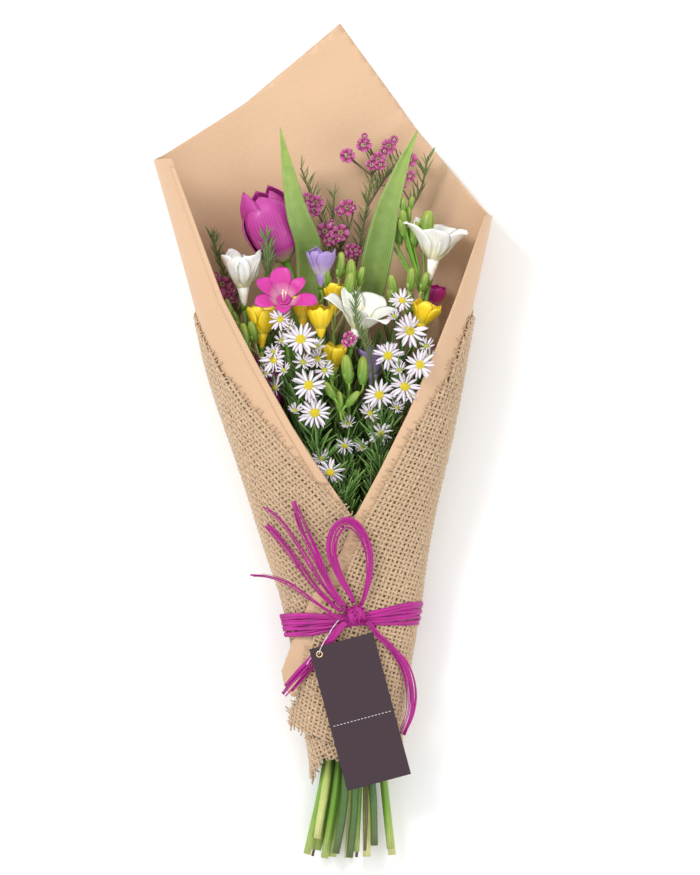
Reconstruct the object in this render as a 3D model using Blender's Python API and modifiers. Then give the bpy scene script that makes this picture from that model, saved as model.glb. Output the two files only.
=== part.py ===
"""Hand-tied spring bouquet in a kraft paper cone and a jute burlap wrap.

The bouquet lies on its back on a table: +X is its right, +Y runs along it from the cut stem ends to
the paper's peak, and +Z points up from the table. The origin is under its middle. Shapes are worked
out in millimetres, and every mesh and curve is made in metres.
"""
import math
import random

import bmesh
import bpy
import numpy as np
from mathutils import Matrix, Vector
from mathutils.bvhtree import BVHTree

MM = 0.001

# Sheets, in millimetres
PAPER = 0.6
BURLAP = 1.4
LAYER_GAP = 0.8
SPIRAL_PITCH = PAPER + BURLAP + 2 * LAYER_GAP
SEAT_GAP = 0.35
BURLAP_OFFSET = PAPER / 2 + LAYER_GAP + BURLAP / 2
BURLAP_OUTSIDE = BURLAP_OFFSET + BURLAP / 2
TIE_LIFT = 3.0

# The cone: places along the bouquet, from the cut ends to the peak, with the value there
CONE_LEFT = ((-320, -21), (-256, -7), (-211, -12), (-155, -21), (-118, -29), (-85, -40), (-28, -58),
             (50, -84), (92, -94), (210, -127), (315, -158))
CONE_RIGHT = ((-320, 60), (-240, 56), (-193, 60), (-155, 65.5), (-118, 71.5), (-85, 76), (-57, 81),
              (10, 96), (92, 111), (168, 127), (315, 150))
CONE_HEIGHT = ((-320, 34), (-256, 39), (-211, 44), (-155, 49), (-118, 52), (-85, 59), (-28, 75),
               (50, 89), (92, 94), (210, 104), (315, 116))
CONE_FLOOR = ((-211, BURLAP_OUTSIDE), (-155, BURLAP_OUTSIDE + TIE_LIFT),
              (-118, BURLAP_OUTSIDE + TIE_LIFT), (-85, BURLAP_OUTSIDE), (95, BURLAP_OUTSIDE),
              (172, PAPER / 2), (315, PAPER / 2))
ROUNDNESS = 2.5
FLAT_SHARE = 0.055
SIDES = 20
TURN_STEP = 2 * math.pi / SIDES
PLAIN_TURN = 0.6
FREE_TURN = math.pi + 1.0

# Free edges of the sheets: places along the bouquet, with the edge's place across it
PAPER_CORNER_LEFT = 210
PAPER_CORNER_RIGHT = 168
PAPER_BACK_LEFT = ((210, -126.8), (255, -57.8), (315, 13.5))
PAPER_BACK_RIGHT = ((168, 126.9), (234, 72), (315, 13.5))
PAPER_FLAP_LEFT = ((-193, 42), (-118, 48), (-85, 41), (-57, 22.5), (-14, -6.8), (10, -22), (35, -36),
                   (59, -49.5), (105, -73.5), (135, -84.8), (210, -112))
PAPER_FLAP_RIGHT = ((-193, -22.5), (-181, -33), (-155, -23.5), (-118, -8), (-85, 13.5), (-57, 24.8),
                    (-22, 43.5), (19, 63.8), (71, 86), (108, 101), (168, 122))
PAPER_ROWS = (315, 270, 235, 213, 206, 172, 165, 125, 92, 72, 50, 30, 10, -28, -57, -85, -118, -137,
              -155, -181, -193)
BURLAP_FLAP_LEFT = ((-240, 20), (-193, 40), (-118, 46), (-85, 39), (-57, 22.5), (-33, -3),
                    (4, -33.8), (25, -53), (50, -73), (76, -88), (92, -93.5))
BURLAP_FLAP_RIGHT = ((-240, 46), (-222, -6), (-211, -28), (-195, -18), (-165, -9), (-127, 0),
                     (-105, 16), (-59, 33), (-34, 46.5), (10, 70.5), (51, 96), (92, 110.5))
BURLAP_ROWS = (92, 72, 50, 30, 10, -28, -57, -85, -118, -137, -155, -181, -193, -211, -222, -238)
BURLAP_TIP = (-math.pi / 2, 0.8, 18.0)

# Raffia, thread and tag
BAND_WIDTH = 12.0
BAND_THICK = 2.0
BAND_MIDDLE = -134.5
BAND_TILT = 0.10
KNOT = (25.5, -130.0)
KNOT_SIZE = (10.0, 8.0, 6.0)
TAG_SIZE = (49.5, 112.0, 0.7)
TAG_MIDDLE = (28.6, -203.5)
TAG_TURN = math.radians(15.0)
TAG_HOLE = 3.4
THREAD = 0.9


def along(knots, y):
    """Value at y of a line through knots, each a place and a value."""
    places, values = zip(*knots)
    return float(np.interp(y, places, values))


def cone_size(y):
    """Middle, half width, floor and half height of the cone's section at y."""
    left = along(CONE_LEFT, y)
    right = along(CONE_RIGHT, y)
    half_height = along(CONE_HEIGHT, y) / (2 - FLAT_SHARE)
    return (left + right) / 2, (right - left) / 2, along(CONE_FLOOR, y), half_height


def spiral(turn):
    """How far a sheet has wound outwards at a turn counted from the middle of its back."""
    slope = SPIRAL_PITCH / 2 / (math.pi - PLAIN_TURN)
    return math.copysign(max(0.0, abs(turn) - PLAIN_TURN) * slope, turn)


def cone_point(y, turn, outwards=0.0):
    """Point on the wound sheet: turn 0 is under the flowers, a quarter is the right side."""
    middle, half_width, floor, half_height = cone_size(y)
    held = min(turn, FREE_TURN)
    sine = math.copysign(abs(math.sin(held)) ** (2 / ROUNDNESS), math.sin(held))
    cosine = math.copysign(abs(math.cos(held)) ** (2 / ROUNDNESS), math.cos(held))
    lift = (1 - cosine) - FLAT_SHARE
    normal = Vector((0.0, 0.0, -1.0))
    if lift > 0:
        power = 2 - 2 / ROUNDNESS
        across = math.copysign(abs(math.sin(held)) ** power, math.sin(held)) / half_width
        upwards = math.copysign(abs(math.cos(held)) ** power, math.cos(held)) / half_height
        normal = Vector((across, 0.0, -upwards)).normalized()
    point = Vector((middle + half_width * sine, y, floor + half_height * max(lift, 0.0)))
    point += normal * (outwards + spiral(turn))
    forwards = Vector((-normal.z, 0.0, normal.x))
    return point + forwards * (turn - held) * half_width


def turn_at(y, x, low, high):
    """Turn between low and high at which the sheet lies at x."""
    rising = cone_point(y, high).x > cone_point(y, low).x
    for _ in range(40):
        middle = (low + high) / 2
        if (cone_point(y, middle).x < x) == rising:
            low = middle
        else:
            high = middle
    return (low + high) / 2


def paper_edges(y):
    """First and last turn of the kraft paper at y."""
    quarter = math.pi / 2
    if y > PAPER_CORNER_LEFT:
        first = turn_at(y, along(PAPER_BACK_LEFT, y), -quarter, quarter)
    else:
        first = turn_at(y, along(PAPER_FLAP_LEFT, y), -3 * quarter, -quarter)
    if y > PAPER_CORNER_RIGHT:
        last = turn_at(y, along(PAPER_BACK_RIGHT, y), -quarter, quarter)
    else:
        last = turn_at(y, along(PAPER_FLAP_RIGHT, y), quarter, 3 * quarter)
    return first, last


def burlap_edges(y):
    """First and last turn of the burlap at y."""
    quarter = math.pi / 2
    first = turn_at(y, along(BURLAP_FLAP_LEFT, y), -3 * quarter, -quarter)
    return first, turn_at(y, along(BURLAP_FLAP_RIGHT, y), quarter, 3 * quarter)


def finish(name, colour, roughness):
    """Plain Principled material with a colour in linear light."""
    made = bpy.data.materials.new(name)
    made.use_nodes = True
    shader = made.node_tree.nodes["Principled BSDF"]
    shader.inputs["Base Color"].default_value = (*colour, 1.0)
    shader.inputs["Roughness"].default_value = roughness
    shader.inputs["Metallic"].default_value = 0.0
    return made


def clear_scene():
    """Remove every object that the scene holds."""
    for item in list(bpy.data.objects):
        bpy.data.objects.remove(item, do_unlink=True)


def add(name, data, material):
    """Object in the bouquet's collection, with its own copy of the material."""
    item = bpy.data.objects.new(name, data)
    bpy.data.collections[COLLECTION].objects.link(item)
    own = material.copy()
    own.name = name
    data.materials.clear()
    data.materials.append(own)
    return item


def mesh_of(vertices, faces):
    """Mesh in metres from points in millimetres, with its faces pointing out."""
    mesh = bpy.data.meshes.new("part")
    mesh.from_pydata([tuple(Vector(v) * MM) for v in vertices], [], faces)
    shape = bmesh.new()
    shape.from_mesh(mesh)
    bmesh.ops.recalc_face_normals(shape, faces=shape.faces)
    shape.to_mesh(mesh)
    shape.free()
    return mesh


def sheet_mesh(rows, edges, outwards, tip=None):
    """Open sheet on the wound cone, cut along its edges, in triangles.

    The tip is a turn, a half width in turns and a length by which the last row hangs lower.
    """
    index = {}
    vertices = []

    def corner(row, column, limits):
        turn = min(max(column * TURN_STEP, limits[0]), limits[1])
        key = (row, round(turn, 5))
        if key not in index:
            index[key] = len(vertices)
            y = rows[row]
            if tip and row == len(rows) - 1:
                y -= tip[2] * max(0.0, 1 - abs(turn - tip[0]) / tip[1])
            vertices.append(cone_point(y, turn, outwards))
        return index[key]

    limits = [edges(y) for y in rows]
    most = math.ceil(3 * math.pi / 2 / TURN_STEP) + 1
    faces = []
    for row in range(len(rows) - 1):
        for column in range(-most, most):
            a = corner(row, column, limits[row])
            b = corner(row, column + 1, limits[row])
            c = corner(row + 1, column + 1, limits[row + 1])
            d = corner(row + 1, column, limits[row + 1])
            faces += [face for face in ((a, b, c), (a, c, d)) if len(set(face)) == 3]
    return mesh_of(vertices, faces)


def add_sheet(name, mesh, thickness, material):
    """Rolled sheet with an even thickness."""
    sheet = add(name, mesh, material)
    wall = sheet.modifiers.new("thickness", "SOLIDIFY")
    wall.thickness = thickness * MM
    wall.offset = 0.0
    return sheet


def curve_of(points, radius, sides_level=2):
    """Round rod along points, with filled caps."""
    curve = bpy.data.curves.new("rod", "CURVE")
    curve.dimensions = "3D"
    curve.bevel_depth = radius * MM
    curve.bevel_resolution = sides_level
    curve.use_fill_caps = True
    spline = curve.splines.new("POLY")
    spline.points.add(len(points) - 1)
    for place, point in enumerate(points):
        spline.points[place].co = (*(Vector(point) * MM), 1.0)
    return curve


def smooth_path(points, count):
    """Evenly spaced points on a smooth curve through the given points."""
    given = [Vector(p) for p in points]
    padded = [2 * given[0] - given[1], *given, 2 * given[-1] - given[-2]]
    fine = []
    for a, b, c, d in zip(padded, padded[1:], padded[2:], padded[3:]):
        for step in range(8):
            t = step / 8
            fine.append(0.5 * (2 * b + (c - a) * t + (2 * a - 5 * b + 4 * c - d) * t ** 2
                               + (3 * b - 3 * c + d - a) * t ** 3))
    fine.append(given[-1])
    lengths = np.cumsum([0.0] + [(q - p).length for p, q in zip(fine, fine[1:])])
    wanted = np.linspace(0.0, lengths[-1], count)
    axes = [np.interp(wanted, lengths, [p[axis] for p in fine]) for axis in range(3)]
    return [Vector(p) for p in zip(*axes)]


def loose(data):
    """Object made from a mesh or curve that will be joined to others."""
    item = bpy.data.objects.new("piece", data)
    bpy.context.scene.collection.objects.link(item)
    if not isinstance(data, bpy.types.Curve):
        return item
    bpy.context.view_layer.update()
    graph = bpy.context.evaluated_depsgraph_get()
    mesh = bpy.data.meshes.new_from_object(item.evaluated_get(graph))
    bpy.data.objects.remove(item, do_unlink=True)
    shape = bmesh.new()
    shape.from_mesh(mesh)
    bmesh.ops.remove_doubles(shape, verts=shape.verts, dist=MM / 1000)
    bmesh.ops.recalc_face_normals(shape, faces=shape.faces)
    shape.to_mesh(mesh)
    shape.free()
    return loose(mesh)


def fuse(name, shapes, material, operation="UNION"):
    """One body from the first shape and all the others, by one Boolean on a collection."""
    pieces = [loose(shape) for shape in shapes]
    others = bpy.data.collections.new(name + "_repeats")
    for piece in pieces[1:]:
        others.objects.link(piece)
    union = pieces[0].modifiers.new("union", "BOOLEAN")
    union.operation = operation
    union.operand_type = "COLLECTION"
    union.collection = others
    union.solver = "MANIFOLD"
    bpy.context.view_layer.update()
    graph = bpy.context.evaluated_depsgraph_get()
    mesh = bpy.data.meshes.new_from_object(pieces[0].evaluated_get(graph))
    for piece in pieces:
        bpy.data.objects.remove(piece, do_unlink=True)
    bpy.data.collections.remove(others)
    return add(name, mesh, material)


def facing(origin, axis, roll=0.0):
    """Matrix that turns +Z to axis, with a roll about it, and moves it to origin."""
    turn = Vector(axis).to_track_quat("Z", "Y").to_matrix().to_4x4()
    return Matrix.Translation(Vector(origin)) @ turn @ Matrix.Rotation(roll, 4, "Z")


def spindle(base, tip, side, width, thick, widest=0.6):
    """Slim leaf or ray with six faces: base and tip, two edges and a ridge point on top."""
    base, tip = Vector(base), Vector(tip)
    run = (tip - base).normalized()
    across = (Vector(side) - run * Vector(side).dot(run)).normalized()
    up = run.cross(across)
    middle = base.lerp(tip, widest)
    if up.z < 0:
        up = -up
    points = [base, tip, middle + across * width / 2, middle - across * width / 2,
              middle + up * thick]
    faces = [(0, 2, 4), (0, 4, 3), (0, 3, 2), (1, 4, 2), (1, 3, 4), (1, 2, 3)]
    return mesh_of(points, faces)


def needle(base, tip, thick):
    """Three-sided needle from base to tip."""
    base, tip = Vector(base), Vector(tip)
    place = facing(base, tip - base)
    turns = [2 * math.pi * k / 3 for k in range(3)]
    ring = [place @ Vector((thick * math.cos(a), thick * math.sin(a), 0.0)) for a in turns]
    return mesh_of([*ring, tip], [(0, 1, 3), (1, 2, 3), (2, 0, 3), (0, 2, 1)])


def thick_grid(grid, thick):
    """Closed blade from rows of points, as triangles alike on both faces."""
    columns = len(grid[0])
    points = [p for row in grid for p in row]
    faces = []
    for row in range(len(grid) - 1):
        for column in range(columns - 1):
            a = row * columns + column
            faces += [(a, a + 1, a + columns + 1), (a, a + columns + 1, a + columns)]
    shape = bmesh.new()
    made = [shape.verts.new(Vector(p) * MM) for p in points]
    for face in faces:
        shape.faces.new([made[i] for i in face])
    bmesh.ops.remove_doubles(shape, verts=shape.verts, dist=MM / 100)
    bmesh.ops.recalc_face_normals(shape, faces=shape.faces)
    bmesh.ops.solidify(shape, geom=shape.faces[:], thickness=thick * MM)
    bmesh.ops.recalc_face_normals(shape, faces=shape.faces)
    mesh = bpy.data.meshes.new("blade")
    shape.to_mesh(mesh)
    shape.free()
    return mesh


def placed(mesh, matrix):
    """The mesh turned and moved by a matrix given in millimetres."""
    matrix = matrix.copy()
    matrix.translation *= MM
    mesh.transform(matrix)
    return mesh


def round_solid(kind, size, place, segments=8, rings=4):
    """Ball or cone as a mesh: half sizes for a ball, base, top radius and length for a cone."""
    shape = bmesh.new()
    if kind == "ball":
        bmesh.ops.create_uvsphere(shape, u_segments=segments, v_segments=rings, radius=MM)
        bmesh.ops.scale(shape, vec=size, verts=shape.verts)
    else:
        low, high, length = size
        bmesh.ops.create_cone(shape, cap_ends=True, segments=segments, radius1=low * MM,
                              radius2=high * MM, depth=length * MM)
        bmesh.ops.translate(shape, vec=(0, 0, length / 2 * MM), verts=shape.verts)
    mesh = bpy.data.meshes.new(kind)
    shape.to_mesh(mesh)
    shape.free()
    return placed(mesh, place)


def petal(profile, angle, widths, cup, thick, columns=2):
    """Blade in a bloom: profile of radius and height, half widths there, and how far it cups."""
    grid = []
    outwards = Vector((math.cos(angle), math.sin(angle), 0.0))
    sideways = Vector((-math.sin(angle), math.cos(angle), 0.0))
    for (radius, height), width in zip(profile, widths):
        row = []
        for column in range(columns + 1):
            side = 2 * column / columns - 1
            inwards = radius - cup * width * side ** 2
            row.append(outwards * inwards + sideways * side * width + Vector((0, 0, height)))
        grid.append(row)
    return thick_grid(grid, thick)


def tulip_bloom(name, base, axis, length, radius, roll):
    """Closed tulip: six petals in two layers on a small receptacle."""
    place = facing(base, axis, roll)
    shapes = [round_solid("cone", (radius * 0.17, radius * 0.42, 7.0), place, 6)]
    for number in range(6):
        outer = number % 2
        size = radius * (1.0 if outer else 0.88)
        tall = length * (0.96 - 0.08 * (number % 3) if outer else 1.0 - 0.05 * (number % 3))
        profile = ((size * 0.22, 2.5), (size * 0.92, tall * 0.28), (size * 0.97, tall * 0.64),
                   (size * 0.47, tall))
        widths = (size * 0.1, size * 0.8, size * 0.76, 0.0)
        angle = number * math.pi / 3 + 0.04 * (number % 4)
        shapes.append(placed(petal(profile, angle, widths, 0.45, 1.1 + 0.07 * number), place))
    return fuse(name, shapes, MAGENTA)


def freesia(name, base, axis, length, openness, roll, material):
    """Freesia: a slim tube that widens into six petals in two layers."""
    place = facing(base, axis, roll)
    tube = length * 0.42
    shapes = [round_solid("cone", (1.3, 4.0, tube + 1), place, 5)]
    for number in range(6):
        inner = number % 2
        reach = (0.12 + 0.5 * openness) * length * (0.85 if inner else 1.0)
        rise = length - tube
        profile = ((2.6, tube - 3), (4.4 + reach * 0.35, tube + rise * 0.42),
                   (4.0 + reach * 0.8, tube + rise * (0.86 - 0.24 * openness)),
                   (2.2 + reach, tube + rise * (1.04 - 0.5 * openness + 0.1 * inner)))
        half = length * (0.10 if inner else 0.155)
        widths = (1.2, half, half * 1.05, 0.0)
        if inner or length < PLAIN_FREESIA:
            profile, widths = profile[:1] + profile[2:], widths[:1] + widths[2:]
        blade = petal(profile, number * math.pi / 3, widths, 0.3, 0.8, 1 if inner else 2)
        shapes.append(placed(blade, place))
    return fuse(name, shapes, material)


def aster_shapes(centre, axis, size, rays, droop, rng):
    """Aster head: domed disc, slim rays round it and a green cup behind."""
    place = facing(centre, axis, rng.uniform(0, 1))
    disc = size * 0.28
    shapes = [round_solid("ball", (disc, disc, disc * 0.6), place, 6, 3),
              round_solid("cone", (disc * 0.45, disc * 0.75, ASTER_CUP),
                          place @ Matrix.Translation((0, 0, -ASTER_CUP)), 5)]
    for number in range(rays):
        angle = 2 * math.pi * number / rays + rng.uniform(-0.09, 0.09)
        reach = size * rng.uniform(0.88, 1.0)
        drop = reach * (droop + rng.uniform(-0.08, 0.08))
        out = Vector((math.cos(angle), math.sin(angle), 0.0))
        side = Vector((-math.sin(angle), math.cos(angle), rng.uniform(-0.2, 0.2)))
        root = out * disc * 0.62
        tip = out * reach - Vector((0, 0, drop))
        shapes.append(placed(spindle(root, tip, side, size * 3.4 / rays, 1.0, 0.62), place))
    return shapes


def back_of(centre, axis, gap=SEAT_GAP):
    """Point on the axis just behind an aster's cup."""
    return Vector(centre) - Vector(axis).normalized() * (ASTER_CUP + gap)


def stream(x, z, y_from, y_to, y_cone):
    """Stem from y_to down to y_from that keeps its share of the cone's section all the way."""
    middle, half_width, floor, half_height = cone_size(y_cone)
    across = (x - middle) / half_width
    upwards = (z - floor - half_height) / half_height
    points = []
    for y in STEM_STATIONS:
        if y_from < y < y_to:
            points.append(y)
    points = [y_from, *points, y_to]
    path = []
    for y in points:
        middle, half_width, floor, half_height = cone_size(y)
        path.append(Vector((middle + across * half_width, y,
                            floor + half_height + upwards * half_height)))
    return path


def stem_to(base, axis, cut, lead=12.0):
    """Stem path from its cut end to just under a bloom's base, turning into its axis."""
    run = Vector(axis).normalized()
    below = Vector(base) - run * lead
    path = smooth_path(stream(below.x, below.z, cut, below.y, below.y), 6)
    return [*path, Vector(base) - run * 5, Vector(base) - run * SEAT_GAP]


def bud(base, axis, length, radius):
    """Freesia bud: a slim six-sided spindle with its foot sunk in the stem."""
    place = facing(base, axis) @ Matrix.Translation((0, 0, length * 0.42))
    return round_solid("ball", (radius, radius, length / 2), place, 5, 4)


def tree_of(mesh):
    """Search tree of a mesh's faces."""
    shape = bmesh.new()
    shape.from_mesh(mesh)
    tree = BVHTree.FromBMesh(shape)
    shape.free()
    return tree


class Clearance:
    """Solids that later sprigs and leaves have to stay clear of."""

    def __init__(self):
        self.trees = []
        self.held = []
        self.stems = []

    def keep(self, item):
        """Add an object as the viewport shows it."""
        bpy.context.view_layer.update()
        graph = bpy.context.evaluated_depsgraph_get()
        mesh = bpy.data.meshes.new_from_object(item.evaluated_get(graph))
        self.trees.append(tree_of(mesh))
        bpy.data.meshes.remove(mesh)
        return item

    def hold(self, path, radius):
        """Keep the way free for a stem that is made later."""
        rod = loose(curve_of(path, radius, 0))
        self.held.append(tree_of(rod.data))
        bpy.data.objects.remove(rod, do_unlink=True)

    def free(self, mesh):
        """Whether a mesh touches none of the solids kept."""
        tree = tree_of(mesh)
        return not any(tree.overlap(other) for other in self.trees + self.held)


def add_wrap(kept):
    """Kraft paper cone and the burlap round it."""
    paper = sheet_mesh(PAPER_ROWS, paper_edges, 0.0)
    kept.keep(add_sheet("kraft_paper", paper, PAPER, KRAFT))
    cloth = sheet_mesh(BURLAP_ROWS, burlap_edges, BURLAP_OFFSET, BURLAP_TIP)
    kept.keep(add_sheet("burlap_wrap", cloth, BURLAP, JUTE))


def add_binding(kept):
    """Tie that holds the stems inside the wrap, with a hole round each stem."""
    inner = spiral(-math.pi) - PAPER / 2 - SEAT_GAP
    vertices = []
    for y in (BINDING[0], BINDING[1]):
        for column in range(SIDES):
            turn = column * TURN_STEP - math.pi
            vertices.append(cone_point(y, turn, inner - spiral(turn)))
    faces = [tuple(range(SIDES)), tuple(range(2 * SIDES - 1, SIDES - 1, -1))]
    for column in range(SIDES):
        following = (column + 1) % SIDES
        faces.append((column, following, SIDES + following, SIDES + column))
    shapes = [mesh_of(vertices, faces)]
    shapes += [curve_of(path, (radius + SEAT_GAP) * 1.42, 0) for path, radius in kept.stems]
    kept.keep(fuse("stem_binding", shapes, TWINE, "DIFFERENCE"))


def band_outwards(turn):
    """Offset of the raffia band's inner face, over every layer that it crosses."""
    step_turn = math.pi + 0.75
    left = spiral(-math.pi / 2) + BURLAP_OUTSIDE + SEAT_GAP
    high = spiral(step_turn) + BURLAP_OUTSIDE + SEAT_GAP
    if turn <= step_turn:
        return spiral(turn) + BURLAP_OUTSIDE + SEAT_GAP
    share = (turn - step_turn) / (3 * math.pi / 2 - step_turn)
    return high + (left - high) * share


def top_of(x, y):
    """Height of the outermost layer on top of the wrap at x and y."""
    middle, half_width, _, _ = cone_size(y)
    inside = min(max(x, middle - 0.93 * half_width), middle + 0.93 * half_width)
    turn = turn_at(y, inside, math.pi / 2, 3 * math.pi / 2)
    extra = band_outwards(min(turn, 3 * math.pi / 2)) - spiral(turn)
    return cone_point(y, turn, extra).z


def knot_side(centre, towards):
    """Point just outside the knot on the way to a point."""
    run = (towards - centre).normalized()
    reach = 1 / math.sqrt(sum((part / size) ** 2 for part, size in zip(run, KNOT_SIZE)))
    return centre + run * (reach + SEAT_GAP / 2)


def add_raffia(kept):
    """Band with its knot, the loop of the bow and its free tails."""
    rings = []
    for column in range(SIDES):
        turn = column * TURN_STEP - math.pi / 2
        inner = band_outwards(turn) - spiral(turn)
        middle = BAND_MIDDLE + BAND_TILT * (cone_point(BAND_MIDDLE, turn).x - KNOT[0])
        low, high = middle - BAND_WIDTH / 2, middle + BAND_WIDTH / 2
        rings.append([cone_point(low, turn, inner), cone_point(high, turn, inner),
                      cone_point(high, turn, inner + BAND_THICK),
                      cone_point(low, turn, inner + BAND_THICK)])
    vertices = [p for ring in rings for p in ring]
    faces = []
    for ring in range(len(rings)):
        following = (ring + 1) % len(rings)
        for side in range(4):
            a, b = 4 * ring + side, 4 * ring + (side + 1) % 4
            c, d = 4 * following + (side + 1) % 4, 4 * following + side
            faces += [(a, b, c), (a, c, d)]
    centre = Vector((*KNOT, top_of(*KNOT) + BAND_THICK + KNOT_SIZE[2] * 0.7))
    knot = round_solid("ball", KNOT_SIZE, Matrix.Translation(centre), 10, 6)
    kept.keep(fuse("raffia_band", [mesh_of(vertices, faces), knot], RAFFIA))
    for name, (radius, points) in RAFFIA_RUNS.items():
        path = [Vector((x, y, top_of(x, y) + up)) for x, y, up in points]
        path.insert(0, knot_side(centre, path[0]))
        if name == "raffia_loop":
            path.append(knot_side(centre, path[-1]))
        kept.keep(add(name, curve_of(smooth_path(path, len(path) + 2), radius), RAFFIA))


def add_tag(kept):
    """Hang tag with its hole, laid on the tie, and the thread that holds it."""
    width, height, thick = TAG_SIZE
    upper = top_of(12, -150) + TAG_LIFT[0]
    lower = top_of(40, -250) + TAG_LIFT[1]
    slope = math.atan2(upper - lower, height)
    place = (Matrix.Translation((*TAG_MIDDLE, (upper + lower) / 2))
             @ Matrix.Rotation(TAG_TURN, 4, "Z") @ Matrix.Rotation(slope, 4, "X"))
    card = bmesh.new()
    bmesh.ops.create_cube(card, size=MM)
    bmesh.ops.scale(card, vec=TAG_SIZE, verts=card.verts)
    mesh = bpy.data.meshes.new("card")
    card.to_mesh(mesh)
    card.free()
    tag = add("tag_card", placed(mesh, place), CARD)
    hole = place @ Vector((-width / 2 + 6.5, height / 2 - 5.5, 0.0))
    drill = bpy.data.objects.new("tag_hole", round_solid(
        "cone", (TAG_HOLE / 2, TAG_HOLE / 2, 8.0), facing(hole - Vector((0, 0, 4)), (0, 0, 1)), 8))
    bpy.data.collections[CUTTERS].objects.link(drill)
    drill.hide_render = True
    drill.display_type = "WIRE"
    cut = tag.modifiers.new("hole", "BOOLEAN")
    cut.operation = "DIFFERENCE"
    cut.object = drill
    kept.keep(tag)
    path = [Vector((12.5, -134.5, hole.z + 3.4)), Vector((7, -142, hole.z + 3.2)),
            hole + Vector((1.5, 5.5, 2.4)), hole + Vector((0, 0.6, 0.8)),
            hole + Vector((-0.3, 0, -1.6)), hole + Vector((-6, -3, -2.4)),
            hole + Vector((-9.5, -8, -2.2))]
    kept.keep(add("tag_thread", curve_of(smooth_path(path, 9), THREAD / 2), THREAD_FINISH))


def add_tulips(kept):
    """Two closed tulips with their stems, and the two large leaves."""
    for number, (base, axis, length, radius, roll) in enumerate(TULIPS, start=1):
        kept.keep(tulip_bloom(f"tulip_bloom_{number}", base, axis, length, radius, roll))
        path = stem_to(base, axis, TULIP_CUTS[number - 1])
        kept.stems.append((path, TULIP_STEM))
        kept.keep(add(f"tulip_stem_{number}", curve_of(path, TULIP_STEM, 1), STEM_BRIGHT))
    for number, (points, width, fold) in enumerate(TULIP_LEAVES, start=1):
        path = smooth_path(points, 9)
        grid = []
        for place, point in enumerate(path):
            share = place / (len(path) - 1)
            half = width * math.sin(math.pi * min(share * 0.9 + 0.1, 1.0)) ** 0.8
            half = half if place < len(path) - 1 else 0.0
            ahead = path[min(place + 1, len(path) - 1)] - path[max(place - 1, 0)]
            across = ahead.cross(Vector((0, 0, 1))).normalized()
            lift = Vector((0, 0, half * fold))
            grid.append([point - across * half + lift, point, point + across * half + lift])
        kept.keep(add(f"tulip_leaf_{number}", thick_grid(grid, 0.9), LEAF))


def add_freesias(kept):
    """Freesia flowers first, then each spike with its side stalks and buds."""
    for name, (base, axis, length, openness, roll, colour) in FREESIAS.items():
        kept.keep(freesia(name, base, axis, length, openness, roll, colour))
    for number, (main, cut, stalks, buds, material) in enumerate(SPIKES, start=1):
        base, axis = FREESIAS[main][:2]
        trunk = stem_to(base, axis, cut)
        kept.stems.append((trunk, FREESIA_STEM))
        shapes = [curve_of(trunk, FREESIA_STEM, 1)]
        for name in stalks:
            tip, turn = Vector(FREESIAS[name][0]), Vector(FREESIAS[name][1]).normalized()
            root = near(trunk, tip.y - 22)
            path = smooth_path([root, tip - turn * 10, tip - turn * SEAT_GAP], 5)
            shapes.append(curve_of(path, 1.1, 0))
        for point, direction, length, radius in buds:
            point, direction = Vector(point), Vector(direction).normalized()
            root = near(trunk, point.y - 16)
            path = smooth_path([root, point - direction * 6, point + direction * 1.5], 4)
            shapes.append(curve_of(path, 0.9, 0))
            shapes.append(bud(point, direction, length, radius))
        kept.keep(fuse(f"freesia_spike_{number}", shapes, material))


def near(path, y):
    """Point of a stem path at y, or its upper end."""
    for low, high in zip(path, path[1:]):
        if low.y <= y <= high.y:
            return low.lerp(high, (y - low.y) / (high.y - low.y))
    return path[-2]


def add_asters(kept):
    """Aster heads on their own, then each leafy spray with its smaller heads grown on."""
    rng = random.Random(7)
    for cut, points, *_ in WAXFLOWERS:
        kept.hold(wax_trunk(cut, points), 2.2)
    for number, (centre, axis, size, rays, droop, _) in enumerate(ASTERS, start=1):
        shapes = aster_shapes(centre, axis, size, rays, droop, rng)
        kept.keep(fuse(f"aster_bloom_{number}", shapes, PALE))
    for spray, (head, cut, small, leaf_box) in enumerate(ASTER_SPRAYS, start=1):
        trunk = smooth_path(stream(head[0], head[2], cut, head[1], head[1]), 8)
        kept.stems.append((trunk, ASTER_STEM))
        shapes = [curve_of(trunk, ASTER_STEM, 1)]
        tips = [(a[0], a[1]) for a in ASTERS if a[5] == spray]
        for centre, axis, size in small:
            shapes.append(star(centre, axis, size, 9, 0.42, 2.2))
            tips.append((centre, axis))
        for centre, axis in tips:
            grown = any(centre == item[0] for item in small)
            end = back_of(centre, axis, 0.6 - ASTER_CUP if grown else SEAT_GAP * 2)
            root = near(trunk, end.y - 38) if end.y - 38 < trunk[-1].y else trunk[-2]
            lean = end - Vector(axis).normalized() * 9
            shapes.append(curve_of(smooth_path([root, root.lerp(lean, 0.55), lean, end], 4), 0.8, 0))
        shapes += spray_leaves(kept, shapes, trunk, leaf_box, rng)
        kept.keep(fuse(f"aster_spray_{spray}", shapes, STEM_DARK))
    kept.held.clear()


def spray_leaves(kept, shapes, trunk, leaf_box, rng):
    """Narrow leaves along a spray, left out where they would touch another piece."""
    count, low, high, length = leaf_box
    leaves = []
    for number in range(count * 3):
        y = low + (high - low) * rng.random()
        root = near(trunk, y)
        angle = rng.uniform(0.15, math.pi - 0.15)
        out = Vector((math.cos(angle), rng.uniform(0.6, 1.5), math.sin(angle) * 0.8)).normalized()
        tip = root + out * length * rng.uniform(0.75, 1.15)
        side = Vector((0.0, 0.0, 1.0)).cross(out) + Vector((0, 0, rng.uniform(-0.6, 0.6)))
        wide = spindle(root + out * 2.4, tip + out, side, 4.2, 2.2)
        if kept.free(wide) and len(leaves) < count:
            leaves.append(spindle(root - out * 0.6, tip, side, 2.9, 1.0, 0.5))
    return leaves


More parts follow.
